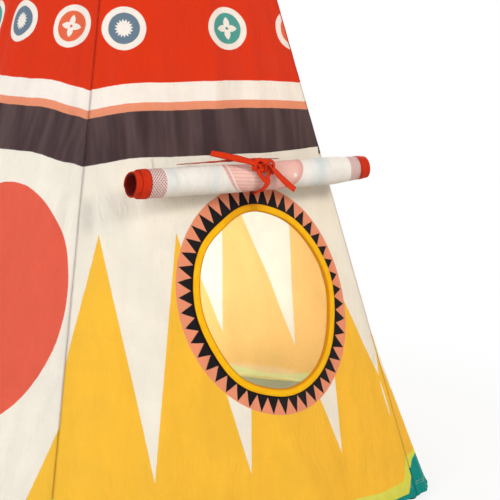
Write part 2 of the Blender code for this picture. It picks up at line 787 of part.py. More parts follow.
def strap_frame(k, height):
    """Frame across a pole at a height: Z along the pole, X towards the inner corner of the ridge."""
    direction = pole_direction(k)
    centre = pole_foot(k) + direction * (height / direction.z)
    corner = cover_point(k, HALF_SIDE, height, -CLOTH_ACROSS / math.cos(HALF_SIDE))
    return frame_at(centre, direction, corner - centre), corner


def make_strap(name, k, height, width, finish):
    """Cloth loop round a pole, sewn into the ridge seam with a tab along the side next to it."""
    frame, corner = strap_frame(k, height)
    local = frame.inverted()
    ridge = local @ corner
    stand = BINDING_PLAY
    next_side = k if (k + 1) % POLE_COUNT == DOOR_SIDE else (k + 1) % POLE_COUNT
    toward = 1 if next_side == k else -1
    turn = toward * (HALF_SIDE - STRAP_TAB / side_radius(next_side, HALF_SIDE, height))
    far = local @ cover_point(next_side, turn, height, -CLOTH_ACROSS)
    edge = Vector((far.x - ridge.x, far.y - ridge.y))
    along = edge.normalized()
    inward = Vector((-along.y, along.x))
    if inward.x > 0:
        inward.negate()
    flip = 1 if far.y > 0 else -1
    base = Vector((ridge.x, ridge.y)) + inward * stand
    root = base + inward * STRAP_CLOTH
    neck = POLE_RADIUS * 0.5
    outline = []
    arc_steps = ROUND_SIDES
    open_turn = start_turn = math.radians(32)
    square = root - along * root.dot(along)
    crossed = square.length < STRAP_OUTER
    if crossed:
        start_turn = math.atan2(flip * square.y, square.x) + math.acos(square.length / STRAP_OUTER)
    for i in range(arc_steps + 1):
        turn = start_turn + (2 * math.pi - open_turn - start_turn) * i / arc_steps
        outline.append(Vector((STRAP_OUTER * math.cos(turn), flip * STRAP_OUTER * math.sin(turn))))
    tip = base + along * STRAP_TAB
    outline.append(Vector((base.x - STRAP_CLOTH * 1.5, base.y - flip * STRAP_CLOTH * 1.5)))
    outline.append(base)
    outline.append(tip)
    outline.append(tip + inward * STRAP_CLOTH)
    if not crossed:
        outline.append(root + along * neck)
    bm = bmesh.new()
    prism(bm, [(p.x, p.y) for p in outline], -width / 2, width / 2, frame)
    caps = [f for f in bm.faces if len(f.verts) > 4]
    bmesh.ops.triangulate(bm, faces=caps)
    strap = add_object(name, bm, finish, pole_pivot(k), math.radians(40))
    bm = bmesh.new()
    prism(bm, circle(POLE_RADIUS + GAP), -width - OVERRUN, width + OVERRUN, frame)
    boolean(strap, cutter(f"{name}_bore", bm, pole_pivot(k)), "DIFFERENCE")


def poles_reach(rise):
    """How far the poles reach from the tent's axis at a level above or below the crossing."""
    away = math.tan(POLE_TILT) * rise
    long_radius = POLE_RADIUS / math.cos(POLE_TILT)
    reaches = []
    for turn in range(360):
        x = away + long_radius * math.cos(math.radians(turn))
        y = CROSSING_OFFSET + POLE_RADIUS * math.sin(math.radians(turn))
        reaches.append(math.hypot(x, y))
    return max(reaches)


def make_lashing():
    """Cord wound round the poles where they cross, as a turned ring with a bulge for each turn."""
    half = LASHING_TURNS * LASHING_CORD / 2
    bore = (poles_reach(half) + GAP) / math.cos(math.pi / ROUND_SIDES / 2)
    centre = AXIS + UP * CROSSING_HEIGHT
    profile = [(bore, -half), (bore + LASHING_CORD / 2, -half)]
    arc = 4
    for turn in range(LASHING_TURNS):
        middle = -half + LASHING_CORD * (turn + 0.5)
        for i in range(1, arc):
            angle = math.pi * (i / arc - 0.5)
            x = bore + LASHING_CORD / 2 * (1 + math.cos(angle))
            profile.append((x, middle + LASHING_CORD / 2 * math.sin(angle)))
        profile.append((bore + LASHING_CORD / 2, -half + LASHING_CORD * (turn + 1)))
    profile.append((bore, half))
    bm = bmesh.new()
    count = ROUND_SIDES * 2
    rings = []
    for radius, level in profile:
        ring = [bm.verts.new(centre + Vector((x, y, level))) for x, y in circle(radius, count)]
        rings.append(ring)
    join_rings(bm, rings, closed=True)
    add_object("crossing_lashing", bm, cotton_cord(), centre, math.radians(50))


def clear_scene():
    for old in list(bpy.data.objects):
        bpy.data.objects.remove(old, do_unlink=True)


def main():
    clear_scene()
    for k in range(POLE_COUNT):
        make_pole(k)
        make_foot(k)
        make_strap(f"pole_strap_{k + 1}", k, STRAP_HEIGHT, STRAP_WIDTH, webbing())
        make_strap(f"hem_loop_{k + 1}", k, LOOP_HEIGHT, LOOP_WIDTH, rubber())
    make_lashing()
    make_window_side()
    make_door_side()
    make_plain_sides()
    make_top_casing()
    make_window_binding()
    make_window_flap()
    make_ribbon()
    for name, sign in (("door_flap_right", 1), ("door_flap_left", -1)):
        make_door_flap(name, sign)
    for name, sign in (("door_tie_right", 1), ("door_tie_left", -1)):
        make_door_tie(name, sign)


main()
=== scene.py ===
"""Kids teepee: cloth, tapes, ribbon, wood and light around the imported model.

Metres, +Z up, the window side faces -Y. hand is 1 for the right half of a side, which hangs on the
pole at its right ridge, and -1 for the left half, which hangs on the pole at its left ridge.
"""

import math
from functools import partialmethod

import bpy
import numpy as np
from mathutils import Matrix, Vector


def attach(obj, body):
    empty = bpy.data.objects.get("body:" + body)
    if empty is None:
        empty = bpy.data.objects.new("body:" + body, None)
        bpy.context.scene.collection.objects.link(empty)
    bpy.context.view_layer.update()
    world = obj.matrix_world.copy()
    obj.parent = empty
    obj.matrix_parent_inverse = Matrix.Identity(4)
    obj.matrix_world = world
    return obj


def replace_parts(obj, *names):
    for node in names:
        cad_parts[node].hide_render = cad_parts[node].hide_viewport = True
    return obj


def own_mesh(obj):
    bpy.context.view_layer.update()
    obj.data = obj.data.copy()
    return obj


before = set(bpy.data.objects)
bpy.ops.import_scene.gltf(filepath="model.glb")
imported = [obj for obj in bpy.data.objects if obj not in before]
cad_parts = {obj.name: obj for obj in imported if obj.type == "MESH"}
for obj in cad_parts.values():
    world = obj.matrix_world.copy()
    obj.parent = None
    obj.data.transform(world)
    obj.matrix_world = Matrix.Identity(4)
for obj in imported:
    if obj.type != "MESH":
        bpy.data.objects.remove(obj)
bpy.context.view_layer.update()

# Sizes that the cloth follows
SIDES = 5
SIDE_ANGLE = 2 * math.pi / SIDES
HALF_SIDE = SIDE_ANGLE / 2
SIDE_NAMES = ("window_side", "right_side", "rear_side", "door_side", "left_side")
WINDOW_SIDE, TIGHT_SIDE, REAR_SIDE, DOOR_SIDE, LEFT_SIDE = range(SIDES)
HALVES = [(side, hand) for side in range(SIDES) for hand in (-1, 1)]
APEX, TOP, HEM = 1.35, 1.065, 0.004
RIDGE_SLOPE = 0.463 / APEX
BULGE = 0.733
AXIS_Y = -0.011822
CROSSING = 1.256747
CLOTH = 0.0014
WINDOW = (0.055, 0.300, 0.0985, 0.1195)
WINDOW_LEAN = math.radians(12)
DOOR_HEIGHT, DOOR_HALF_WIDTH = 0.80, 0.205
DOOR_OUT = np.array((math.sin(DOOR_SIDE * SIDE_ANGLE), -math.cos(DOOR_SIDE * SIDE_ANGLE), 0.0))
TIE_HEIGHT, TIE_LENGTH, TIE_WIDTH = 0.42, 0.128, 0.011
FOOT_RADIUS, POLE_OFFSET = 0.444272, 0.018242
ROPE_RADIUS, ROPE_LAY, ROPE_SIDES = 0.00335, 0.024, 18
HEM_SEAMS, SEAM_LIFT = (0.0185, 0.0215), 0.00015
RIBBON_WIDTH, MEDALLION_RADIUS = 0.010, 0.0305
TAPE_THICKNESS, BINDING_THICKNESS, RIBBON_THICKNESS = 0.0011, 0.0009, 0.0007

# Place of the rolled flap: its middle, and the directions out from the cloth, up it and along it
ROLL_CENTRE = np.array((0.031762, -0.321955, 0.468186))
ROLL_OUT = np.array((0.075933, -0.947778, 0.309759))
ROLL_UP = np.array((-0.032085, 0.308173, 0.950789))
ROLL_ALONG = np.array((0.996806, 0.079861, 0.0))
ROLL_AXES = np.stack((ROLL_OUT, ROLL_UP, ROLL_ALONG))
ROLL_LEFT, ROLL_RIGHT = -0.1690, 0.1875
FLAP_WIDTH = ROLL_RIGHT - ROLL_LEFT
RIBBON_PLACE = 0.028
RIBBON_MIDDLE = ROLL_CENTRE + ROLL_ALONG * RIBBON_PLACE


# ---------------------------------------------------------------- shape of the cover

def clamp(value):
    """The value, held between 0 and 1."""
    return np.clip(value, 0, 1)


def hump(value, wide):
    """1 where the value is 0, falling softly away on both sides."""
    return np.exp(-(value / wide) ** 2)


def rise(low, high, value):
    """0 below low and 1 above high, with a soft step between."""
    share = clamp((value - low) / (high - low))
    return share * share * (3 - 2 * share)


def bulge(side, height):
    """0 where a side is flat between its ridges and 1 where it is round."""
    level = np.asarray(height, float)
    if side == TIGHT_SIDE:
        return 0.05 + 0.15 * clamp(1 - level / 0.30)
    return (0 if side == DOOR_SIDE else BULGE) + 0 * level


def slope(side, turn, height=0.5):
    """Radius of the cover for each metre below its apex."""
    share = bulge(side, height)
    return RIDGE_SLOPE * ((1 - share) * math.cos(HALF_SIDE) / np.cos(turn) + share)


def hem_wave(side, turn, height):
    """The soft folds above the hem."""
    if side == DOOR_SIDE:
        return 0.0
    share = (turn + HALF_SIDE) / SIDE_ANGLE
    wave = 0.007 * clamp(1 - height / 0.30) ** 2 * np.sin(math.pi * share) ** 2 * np.cos(6 * math.pi * share)
    if side != TIGHT_SIDE:
        return wave
    lobe = hump(share - 0.08, 0.09) * clamp(1 - height / 0.22)
    return 0.3 * wave + 0.018 * lobe * clamp(share / 0.04)


# Folds of the window side: distance right of its middle at the heights 0.62 and 0.42, half width, depth
WINDOW_FOLDS = (
    (-0.091, -0.112, 0.011, 0.0040), (-0.056, -0.073, 0.0095, 0.0046), (-0.026, -0.047, 0.0085, 0.0036),
    (0.012, 0.004, 0.013, 0.0052), (0.045, 0.041, 0.010, 0.0034), (0.078, 0.085, 0.012, 0.0044),
    (0.118, 0.134, 0.011, 0.0036),
)

# Slack folds low on the window side: from and to, right of its middle and up, then half width and depth
SLACK_FOLDS = (
    (0.030, 0.150, 0.113, 0.020, 0.014, 0.0050), (0.150, 0.110, 0.215, 0.015, 0.012, 0.0038),
    (-0.150, 0.140, -0.110, 0.015, 0.014, 0.0038), (-0.030, 0.100, -0.045, 0.010, 0.012, 0.0030),
)


def door_edge(height):
    """Half the width of the door's opening, which is also where its flaps fold."""
    return DOOR_HALF_WIDTH * clamp((DOOR_HEIGHT - height) / (DOOR_HEIGHT - HEM))


def drape(side, turn, height):
    """How the hanging cloth swells and creases: long soft folds, and puckers along its seams."""
    share = turn / HALF_SIDE
    across = slope(side, turn, height) * (APEX - height) * turn
    loose = (1 - share ** 2) * (0.35 + 0.65 * clamp((TOP - height) / TOP))
    shift = 1.7 * side
    quiet = 0.5 if side == TIGHT_SIDE else 1.0
    folds = 0.0015 * np.sin(8.3 * math.pi * share + 5.0 * height + 0.7 + 3 * shift)
    if side == WINDOW_SIDE:
        quiet = 0.3 + 0.7 * rise(1.2, 2.0, window_reach(across, height))
        quiet = quiet * (1 - 0.7 * hump(height - 0.47, 0.035))
        folds = folds * rise(0.62, 0.40, height)
        span = rise(0.86, 0.66, height) * rise(0.33, 0.46, height)
        for high, lower, wide, deep in WINDOW_FOLDS:
            middle = lower + (high - lower) * (height - 0.42) / 0.20
            folds = folds + deep * span * hump(across - middle, wide)
        for x0, z0, x1, z1, wide, deep in SLACK_FOLDS:
            run = math.hypot(x1 - x0, z1 - z0)
            far = ((across - x0) * (x1 - x0) + (height - z0) * (z1 - z0)) / run ** 2
            off = ((across - x0) * (z1 - z0) - (height - z0) * (x1 - x0)) / run
            folds = folds + deep * hump(off, wide) * rise(-0.1, 0.35, far) * rise(1.2, 0.8, far)
    long = 0.0026 * np.sin(2.6 * math.pi * share + 2.1 * height + shift)
    long += 0.0022 * np.sin(4.7 * math.pi * share - 3.2 * height + 2.3 + 2 * shift)
    slant = 0.0012 * np.sin(60 * across + 34 * height + shift) * np.sin(9 * height + shift)
    away = RIDGE_SLOPE * (APEX - height) * HALF_SIDE - np.abs(across)
    hollow = -0.0022 * hump(away - 0.020, 0.012)
    if side == LEFT_SIDE:
        hollow = hollow - 0.0030 * hump(away - 0.022, 0.016) * (turn > 0) * rise(0.25, 0.45, height)
    pucker = 0.0006 * hump(away, 0.020) * np.sin(2 * math.pi * height / 0.034 + 1.3 * np.sin(9 * height))
    pucker += 0.0005 * hump(height - TOP, 0.035) * np.sin(2 * math.pi * across / 0.017)
    pucker += 0.0005 * hump(height - HEM, 0.030) * np.sin(2 * math.pi * across / 0.026)
    calm = clamp((1 - np.abs(share)) * 12)
    if side == DOOR_SIDE:
        still = rise(0.003, 0.045, np.abs(np.abs(across) - door_edge(height)) + clamp(height - DOOR_HEIGHT))
        quiet, calm = quiet * still, calm * still
    return ((long + slant + folds) * loose) * quiet + (hollow + pucker) * calm


def cover(side, turn, height, lift=0.0):
    """Points on the outside of the cover, moved level outwards by lift."""
    turn, height = np.broadcast_arrays(np.asarray(turn, float), np.asarray(height, float))
    radius = slope(side, turn, height) * (APEX - height) + hem_wave(side, turn, height)
    radius = radius + drape(side, turn, height) + lift
    angle = side * SIDE_ANGLE + turn
    return np.stack((np.sin(angle) * radius, AXIS_Y - np.cos(angle) * radius, height), -1)


def turn_at(side, offset, height):
    """Angle from the middle of a side at which the cover lies a level distance to its right."""
    turn, rounds = np.zeros(np.broadcast(offset, height).shape), 10
    for _ in range(rounds):
        turn = np.arcsin(np.clip(offset / (slope(side, turn, height) * (APEX - height)), -0.99, 0.99))
    return turn


def seam_line(side, turn, height, lift):
    """A line of points on the cover and their outward directions."""
    line = cover(side, turn, height, lift)
    return line, unit(cover(side, turn, height, lift + 0.01) - line)


def window_reach(across, height, more=0.0):
    """Reach from the window's middle, 1 on its edge or on a line that much outside it."""
    x, z, a, b = WINDOW
    right, up = across - x, height - z
    level = right * math.cos(WINDOW_LEAN) + up * math.sin(WINDOW_LEAN)
    steep = up * math.cos(WINDOW_LEAN) - right * math.sin(WINDOW_LEAN)
    return np.hypot(level / (a + more), steep / (b + more))


def window_line(hand, more, count):
    """Level distances, heights and angles along one half's part of a line round the window."""
    x, z, a, b = WINDOW
    level, slant = (a + more) * math.cos(WINDOW_LEAN), (b + more) * math.sin(WINDOW_LEAN)
    middle, cross = math.atan2(slant, level), math.acos(-x / math.hypot(level, slant))
    share = np.linspace(0, 1, count)
    angle = ((2 * share - 1) * cross if hand > 0 else cross + 2 * (math.pi - cross) * share) - middle
    uneven = 1 + 0.009 * np.sin(5 * angle + 1) + 0.006 * np.sin(8 * angle + 2)
    wide, tall = (a + more) * np.cos(angle) * uneven, (b + more) * np.sin(angle) * uneven
    across = x + wide * math.cos(WINDOW_LEAN) - tall * math.sin(WINDOW_LEAN)
    return across, z + wide * math.sin(WINDOW_LEAN) + tall * math.cos(WINDOW_LEAN), angle


def spread(side, turn, height):
    """Where a point of a side lies when its cloth is spread flat: right of its middle, down from the apex."""
    fine, middle = np.linspace(-HALF_SIDE, HALF_SIDE, 401), 200
    k = slope(side, fine)
    fan = lengths(unit(np.stack((k * np.sin(fine), k * np.cos(fine), np.ones_like(k)), -1)))
    fan = np.interp(turn, fine, fan - fan[middle])
    down = (APEX - height) * np.sqrt(1 + slope(side, turn) ** 2)
    return np.stack((down * np.sin(fan), down * np.cos(fan)), -1)


def half_name(side, hand):
    """Name of a half, as seen from outside."""
    return f"{SIDE_NAMES[side]}_{'left' if hand < 0 else 'right'}"


def pole_body(side, hand):
    """The body of the pole that a half hangs on."""
    return f"pole_{(side + (hand > 0) - 1) % SIDES + 1}"


def hang(piece, side, hand, node_name=None, body=None):
    """The piece rides its half's pole, or a given body, and gathers with the half when the frame folds."""
    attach(piece, body or pole_body(side, hand))
    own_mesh(piece)
    if node_name:
        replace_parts(piece, node_name)
    return piece


def hang_on_flap(piece, node_name=None):
    """The piece lifts with the rolled flap."""
    return hang(piece, WINDOW_SIDE, 1, node_name, "window_flap")


# ---------------------------------------------------------------- meshes

def unit(rows):
    """Each row's direction."""
    return rows / np.maximum(np.linalg.norm(rows, axis=-1, keepdims=True), 1e-12)


def lengths(path):
    """Length along a path up to each of its points."""
    return np.concatenate(([0], np.cumsum(np.linalg.norm(np.diff(path, axis=0), axis=-1))))


def maps(across, along):
    """Places on the cut cloth from two arrays that fit each other."""
    return np.stack(np.broadcast_arrays(across, along), -1)


def grid_normals(points):
    """Normals of a grid of points, towards (along the columns) x (along the rows)."""
    return unit(np.cross(np.gradient(points, axis=1), np.gradient(points, axis=0)))


def add_object(name, data):
    made = bpy.data.objects.new(name, data)
    bpy.context.scene.collection.objects.link(made)
    return made


def add_mesh(name, points, faces, finishes, slots=None, places=None, normals=None):
    """An object from points and faces, with its map in metres and its own normals if given."""
    mesh = bpy.data.meshes.new(name)
    mesh.from_pydata([tuple(p) for p in points], [], [tuple(f) for f in faces])
    if places is not None:
        layer = mesh.uv_layers.new(name="cut")
        corner = np.zeros(len(mesh.loops), np.int32)
        mesh.loops.foreach_get("vertex_index", corner)
        layer.data.foreach_set("uv", np.asarray(places, np.float32)[corner].ravel())
    for finish in finishes:
        mesh.materials.append(finish)
    if slots is not None:
        mesh.polygons.foreach_set("material_index", np.asarray(slots, np.int32))
    mesh.shade_smooth()
    if normals is not None:
        mesh.normals_split_custom_set_from_vertices([tuple(n) for n in normals])
    mesh.update()
    return add_object(name, mesh)


def sheet_mesh(name, points, places, thickness, finishes, kept=None, normals=None):
    """Closed sheet with real thickness from a grid of points. Cells that aren't kept leave a hole."""
    rows, columns = points.shape[:2]
    total = rows * columns
    normals = grid_normals(points) if normals is None else normals
    inner = points - normals * np.broadcast_to(np.asarray(thickness, float), (rows, columns))[..., None]
    kept = np.ones((rows - 1, columns - 1), bool) if kept is None else kept
    index = np.arange(total).reshape(rows, columns)
    quads = np.stack((index[:-1, :-1], index[:-1, 1:], index[1:, 1:], index[1:, :-1]), -1)
    front, padded, rims = quads[kept], np.pad(kept, 1), []
    for corner, (down, right) in enumerate(((-1, 0), (0, 1), (1, 0), (0, -1))):
        cell = quads[kept & ~padded[1 + down:rows + down, 1 + right:columns + right]]
        a, b = cell[:, corner], cell[:, (corner + 1) % 4]
        rims.append(np.stack((b, a, a + total, b + total), -1))
    faces = np.concatenate((front, front[:, ::-1] + total, *rims))
    used = np.zeros(2 * total, bool)
    used[faces.ravel()] = True
    slots = (np.arange(len(faces)) // len(front) == 1) if len(finishes) > 1 else None
    both = np.concatenate((points.reshape(-1, 3), inner.reshape(-1, 3)))[used]
    shading = np.concatenate((normals.reshape(-1, 3), -normals.reshape(-1, 3)))[used]
    spots = np.tile(places.reshape(-1, 2), (2, 1))[used]
    return add_mesh(name, both, (np.cumsum(used) - 1)[faces], finishes, slots, spots, shading)


def rings_mesh(name, rings, tips, places, tip_places, finish):
    """Closed mesh of rings of points with a point at each end."""
    index = np.arange(rings.shape[0] * rings.shape[1]).reshape(rings.shape[:2])
    after = np.roll(index, -1, 1)
    faces = [*np.stack((index[:-1], after[:-1], after[1:], index[1:]), -1).reshape(-1, 4)]
    faces += [(b, a, index.size) for a, b in zip(index[0], after[0])]
    faces += [(a, b, index.size + 1) for a, b in zip(index[-1], after[-1])]
    points, spots = np.vstack((rings.reshape(-1, 3), tips)), np.vstack((places.reshape(-1, 2), tip_places))
    return add_mesh(name, points, faces, [finish], None, spots)


def rope_mesh(name, path, start):
    """Cotton cord of three strands along a path. start is a direction square to it where it begins."""
    along, length, last = unit(np.gradient(path, axis=0)), lengths(path), np.asarray(start, float)
    side = np.zeros_like(path)
    for i, direction in enumerate(along):
        last = last - direction * last.dot(direction)
        last /= np.linalg.norm(last)
        side[i] = last
    top = np.cross(along, side)
    angle = np.linspace(0, 2 * math.pi, ROPE_SIDES, endpoint=False)
    twist = angle + 2 * math.pi / ROPE_LAY * length[:, None]
    reach = ROPE_RADIUS * (0.86 + 0.14 * np.abs(np.cos(1.5 * twist)))
    rings = side[:, None] * (np.cos(angle) * reach)[..., None] + top[:, None] * (np.sin(angle) * reach)[..., None]
    places = maps(angle * reach.mean(1, keepdims=True), length[:, None])
    tips = (path[0] - along[0] * 0.0004, path[-1] + along[-1] * 0.0004)
    piece = rings_mesh(name, path[:, None] + rings, tips, places, ((0.0, 0.0), (0.0, length[-1])), CORD)
    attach(piece, "cover")
    return piece


def smooth_path(knots, count):
    """Points on a smooth curve through the knots, evenly spaced by length."""
    knots = np.asarray(knots, float)
    ends = np.vstack((2 * knots[0] - knots[1], knots, 2 * knots[-1] - knots[-2]))
    t = np.linspace(0, 1, 24, endpoint=False)[:, None]
    out = []
    for i in range(1, len(ends) - 2):
        a, b, c, d = ends[i - 1:i + 3]
        square, cube = 2 * a - 5 * b + 4 * c - d, 3 * b - a - 3 * c + d
        out.append(0.5 * (2 * b + (c - a) * t + square * t ** 2 + cube * t ** 3))
    out = np.vstack((*out, knots[-1:]))
    length = lengths(out)
    even = np.linspace(0, length[-1], count)
    return np.stack([np.interp(even, length, out[:, axis]) for axis in range(3)], -1)


# ---------------------------------------------------------------- stitches by Geometry Nodes

STITCH_NODES = {
    "given": "NodeGroupInput", "curve": "GeometryNodeMeshToCurve", "even": "GeometryNodeResampleCurve",
    "stand": "GeometryNodeInputNamedAttribute", "tangent": "GeometryNodeInputTangent",
    "turn": "FunctionNodeAxesToRotation", "bead": "GeometryNodeMeshUVSphere", "size": "ShaderNodeCombineXYZ",
    "place": "GeometryNodeInstanceOnPoints", "real": "GeometryNodeRealizeInstances",
    "paint": "GeometryNodeSetMaterial", "result": "NodeGroupOutput",
}
STITCH_LINKS = (
    "given.Geometry > curve.Mesh, curve.Curve > even.Curve, given.Pitch > even.Length, even.Curve > place.Points, "
    "bead.Mesh > place.Instance, tangent.Tangent > turn.Primary Axis, stand.Attribute > turn.Secondary Axis, "
    "turn.Rotation > place.Rotation, given.Stitch Length > size.X, given.Thread Width > size.Y, "
    "given.Thread Height > size.Z, size.Vector > place.Scale, place.Instances > real.Geometry, "
    "real.Geometry > paint.Geometry, given.Thread > paint.Material, paint.Geometry > result.Geometry"
)


def stitch_tree():
    """Thread stitches along the edges of a mesh, standing on the side that its stand attribute names."""
    tree = bpy.data.node_groups.new("sewn_stitches", "GeometryNodeTree")
    sockets = [("Geometry", "INPUT", "Geometry"), ("Thread", "INPUT", "Material"), ("Geometry", "OUTPUT", "Geometry")]
    sockets += [(label, "INPUT", "Float") for label in ("Pitch", "Stitch Length", "Thread Width", "Thread Height")]
    for label, way, kind in sockets:
        tree.interface.new_socket(label, in_out=way, socket_type=f"NodeSocket{kind}")
    nodes = {label: tree.nodes.new(kind) for label, kind in STITCH_NODES.items()}
    nodes["even"].mode = "LENGTH"
    nodes["stand"].data_type = "FLOAT_VECTOR"
    nodes["stand"].inputs["Name"].default_value = "stand"
    nodes["turn"].primary_axis, nodes["turn"].secondary_axis = "X", "Z"
    for label, value in (("Segments", 6), ("Rings", 4), ("Radius", 0.5)):
        nodes["bead"].inputs[label].default_value = value
    for pair in STITCH_LINKS.split(", "):
        (source, output), (target, socket) = (end.split(".") for end in pair.split(" > "))
        tree.links.new(nodes[source].outputs[output], nodes[target].inputs[socket])
    return tree


def sew(name, lines, thread, pitch=0.0034, length=0.0025, width=0.0007, height=0.0006):
    """One mesh of stitches along lines, each a pair of points and outward directions."""
    edges, first = [], 0
    for line, _ in lines:
        edges += [(first + i, first + i + 1) for i in range(len(line) - 1)]
        first += len(line)
    mesh = bpy.data.meshes.new(f"{name}_lines")
    mesh.from_pydata([tuple(p) for line, _ in lines for p in line], edges, [])
    stands = np.concatenate([out for _, out in lines])
    mesh.attributes.new("stand", "FLOAT_VECTOR", "POINT").data.foreach_set("vector", stands.astype(np.float32).ravel())
    base = add_object(f"{name}_lines", mesh)
    modifier = base.modifiers.new("stitches", "NODES")
    modifier.node_group = STITCHES
    sizes = {"Pitch": pitch, "Stitch Length": length, "Thread Width": width, "Thread Height": height, "Thread": thread}
    for item in STITCHES.interface.items_tree:
        if item.in_out == "INPUT" and item.name in sizes:
            modifier[item.identifier] = sizes[item.name]
    bpy.context.view_layer.update()
    seen = base.evaluated_get(bpy.context.evaluated_depsgraph_get())
    made = add_object(name, bpy.data.meshes.new_from_object(seen))
    made.data.name = name
    made.data.shade_smooth()
    bpy.data.objects.remove(base)
    return made


# ---------------------------------------------------------------- shader sums

class Sum:
    """A value in the shader tree being made, which takes part in sums written as plain Python."""

    tree = None

    def __init__(self, socket):
        self.socket = socket

    def maths(self, operation, *others):
        return node("ShaderNodeMath", self, *others, operation=operation)

    __add__ = __radd__ = partialmethod(maths, "ADD")
    __mul__ = __rmul__ = partialmethod(maths, "MULTIPLY")
    __sub__, __rsub__ = partialmethod(maths, "SUBTRACT"), partialmethod(maths, "MULTIPLY_ADD", -1.0)
    __truediv__, __pow__ = partialmethod(maths, "DIVIDE"), partialmethod(maths, "POWER")
    __abs__, fraction = partialmethod(maths, "ABSOLUTE"), partialmethod(maths, "FRACT")
    sine, cosine, exponent = (
        partialmethod(maths, "SINE"), partialmethod(maths, "COSINE"), partialmethod(maths, "EXPONENT"))
    least, most = partialmethod(maths, "MINIMUM"), partialmethod(maths, "MAXIMUM")

    def step(self, low, high, to_low=0.0, to_high=1.0):
        """Soft step of the value from to_low at low to to_high at high."""
        return node("ShaderNodeMapRange", self, low, high, to_low, to_high, interpolation_type="SMOOTHSTEP")

    def past(self, edge=0.0, soft=0.0005):
        """1 where the value is past an edge."""
        return self.step(edge - soft, edge + soft)


def feed(socket, term):
    """A sum is linked to the socket, and a constant is set on it."""
    if isinstance(term, Sum):
        Sum.tree.links.new(term.socket, socket)
    else:
        socket.default_value = term


def fill(target, inputs):
    for label, term in inputs.items():
        feed(target.inputs[label], term)


def node(kind, *terms, output=0, inputs=None, **settings):
    """A node in the tree being made, with its settings and inputs, in order or by name. Returns one output."""
    made = Sum.tree.nodes.new(kind)
    for label, value in settings.items():
        setattr(made, label, value)
    fill(made, inputs or dict(enumerate(terms)))
    return Sum(made.outputs[output])


def tone(red, green, blue):
    """Linear colour from the usual 0 to 255 values."""
    shares = (value / 255 for value in (red, green, blue))
    return (*(share / 12.92 if share < 0.0405 else ((share + 0.055) / 1.055) ** 2.4 for share in shares), 1.0)


def blend(under, over, share, kind="MIX"):
    """One colour laid over another by a share."""
    given = {"Factor": share, "A": under, "B": over}
    return node("ShaderNodeMix", output="Result", inputs=given, data_type="RGBA", blend_type=kind)


def layers(colour, *overs):
    """Colours laid over one another, each with its share."""
    for over, share in overs:
        colour = blend(colour, over, share)
    return colour


def split(vector):
    """X, Y and Z of a vector."""
    parts = Sum.tree.nodes.new("ShaderNodeSeparateXYZ")
    feed(parts.inputs[0], vector)
    return [Sum(output) for output in parts.outputs]


def join(x=0.0, y=0.0, z=0.0):
    return node("ShaderNodeCombineXYZ", x, y, z)


def noise(vector, scale, detail=2.0, roughness=0.5):
    given = {"Vector": vector, "Scale": scale, "Detail": detail, "Roughness": roughness}
    return node("ShaderNodeTexNoise", output="Fac", inputs=given)


def bump(height, distance, under=None, strength=1.0):
    given = {"Distance": distance, "Strength": strength, "Height": height}
    if under is not None:
        given["Normal"] = under
    return node("ShaderNodeBump", inputs=given)


def group(name, inputs, outputs):
    """Makes a function of sums a node group. Its named inputs have a star where they are vectors."""
    def make(body):
        tree = bpy.data.node_groups.new(name, "ShaderNodeTree")
        for way, labels in (("INPUT", inputs), ("OUTPUT", outputs)):
            for label in labels.split(", "):
                kind = "Vector" if label[0] == "*" else "Float"
                tree.interface.new_socket(label.strip("*"), in_out=way, socket_type=f"NodeSocket{kind}")
        given, result = tree.nodes.new("NodeGroupInput"), tree.nodes.new("NodeGroupOutput")
        Sum.tree = tree
        found = body(*[Sum(socket) for _, socket in zip(inputs.split(", "), given.outputs)])
        fill(result, dict(enumerate(found)))

        def place(*terms):
            placed = Sum.tree.nodes.new("ShaderNodeGroup")
            placed.node_tree = tree
            fill(placed, dict(enumerate(terms)))
            sums = [Sum(socket) for socket in placed.outputs]
            return sums if len(sums) > 1 else sums[0]
        return place
    return make


# ---------------------------------------------------------------- effects that several finishes share

@group("woven_threads", "*Cut, Pitch, Slub", "Height, Shade")
def weave(cut, pitch, slub):
    """Over and under of the threads, and the uneven thickness of the yarn. Shade gives the yarn's uneven tone and
    paints the threads that lie over a little lighter, a painted highlight.
    """
    u, v, _ = split(cut)
    over = (u / pitch * math.pi).sine() * (v / pitch * math.pi).sine()
    weft = noise(join(u * 30, v * 900, 0.0), 1.0, 1.0)
    warp = noise(join(u * 900, v * 30, 7.0), 1.0, 1.0)
    yarn = (weft + warp - 1.0) * slub
    # Shade: the yarn's tone, with a painted highlight on the threads that lie over
    return over * 0.25 + 0.5 + yarn, 1.0 + yarn * 0.35 + over * 0.03


@group("soft_creases", "*Cut, Size", "Crease, Patch, Streak")
def creases(cut, size):
    """Soft handling creases and the patchy look of cotton that has hung a while."""
    bend = noise(cut, 9.0, 2.0)
    u, v, _ = split(cut)
    drawn = noise(join(u + bend * 0.03, v * 0.35, 0.0), size, 3.0, 0.55)
    streak = noise(join(u + bend * 0.06, v * 0.16, 3.0), 24.0, 3.0, 0.6)
    return (1.0 - abs(drawn * 2.0 - 1.0)) ** 3.0, noise(cut, 14.0, 3.0, 0.6), streak


@group("printed_spike", "U, V, Tip U, Tip V, Left, Right", "Inside")
def spike(u, v, tip_u, tip_v, left, right):
    """Height inside a spike that widens down from its tip, by the slope of each edge."""
    return [v - tip_v - ((tip_u - u) * left).most((u - tip_u) * right)]


@group("printed_oval", "U, V, Middle U, Middle V, Half U, Half V, Lean", "Reach, Angle")
def oval(u, v, middle_u, middle_v, half_u, half_v, lean):
    """Reach from a leaning oval's middle, 1 on its edge, and the angle round it."""
    right, down = u - middle_u, v - middle_v
    sine, cosine = lean.sine(), lean.cosine()
    x, y = (right * cosine - down * sine) / half_u, (down * cosine + right * sine) / half_v
    return (x * x + y * y) ** 0.5, y.maths("ARCTAN2", x)


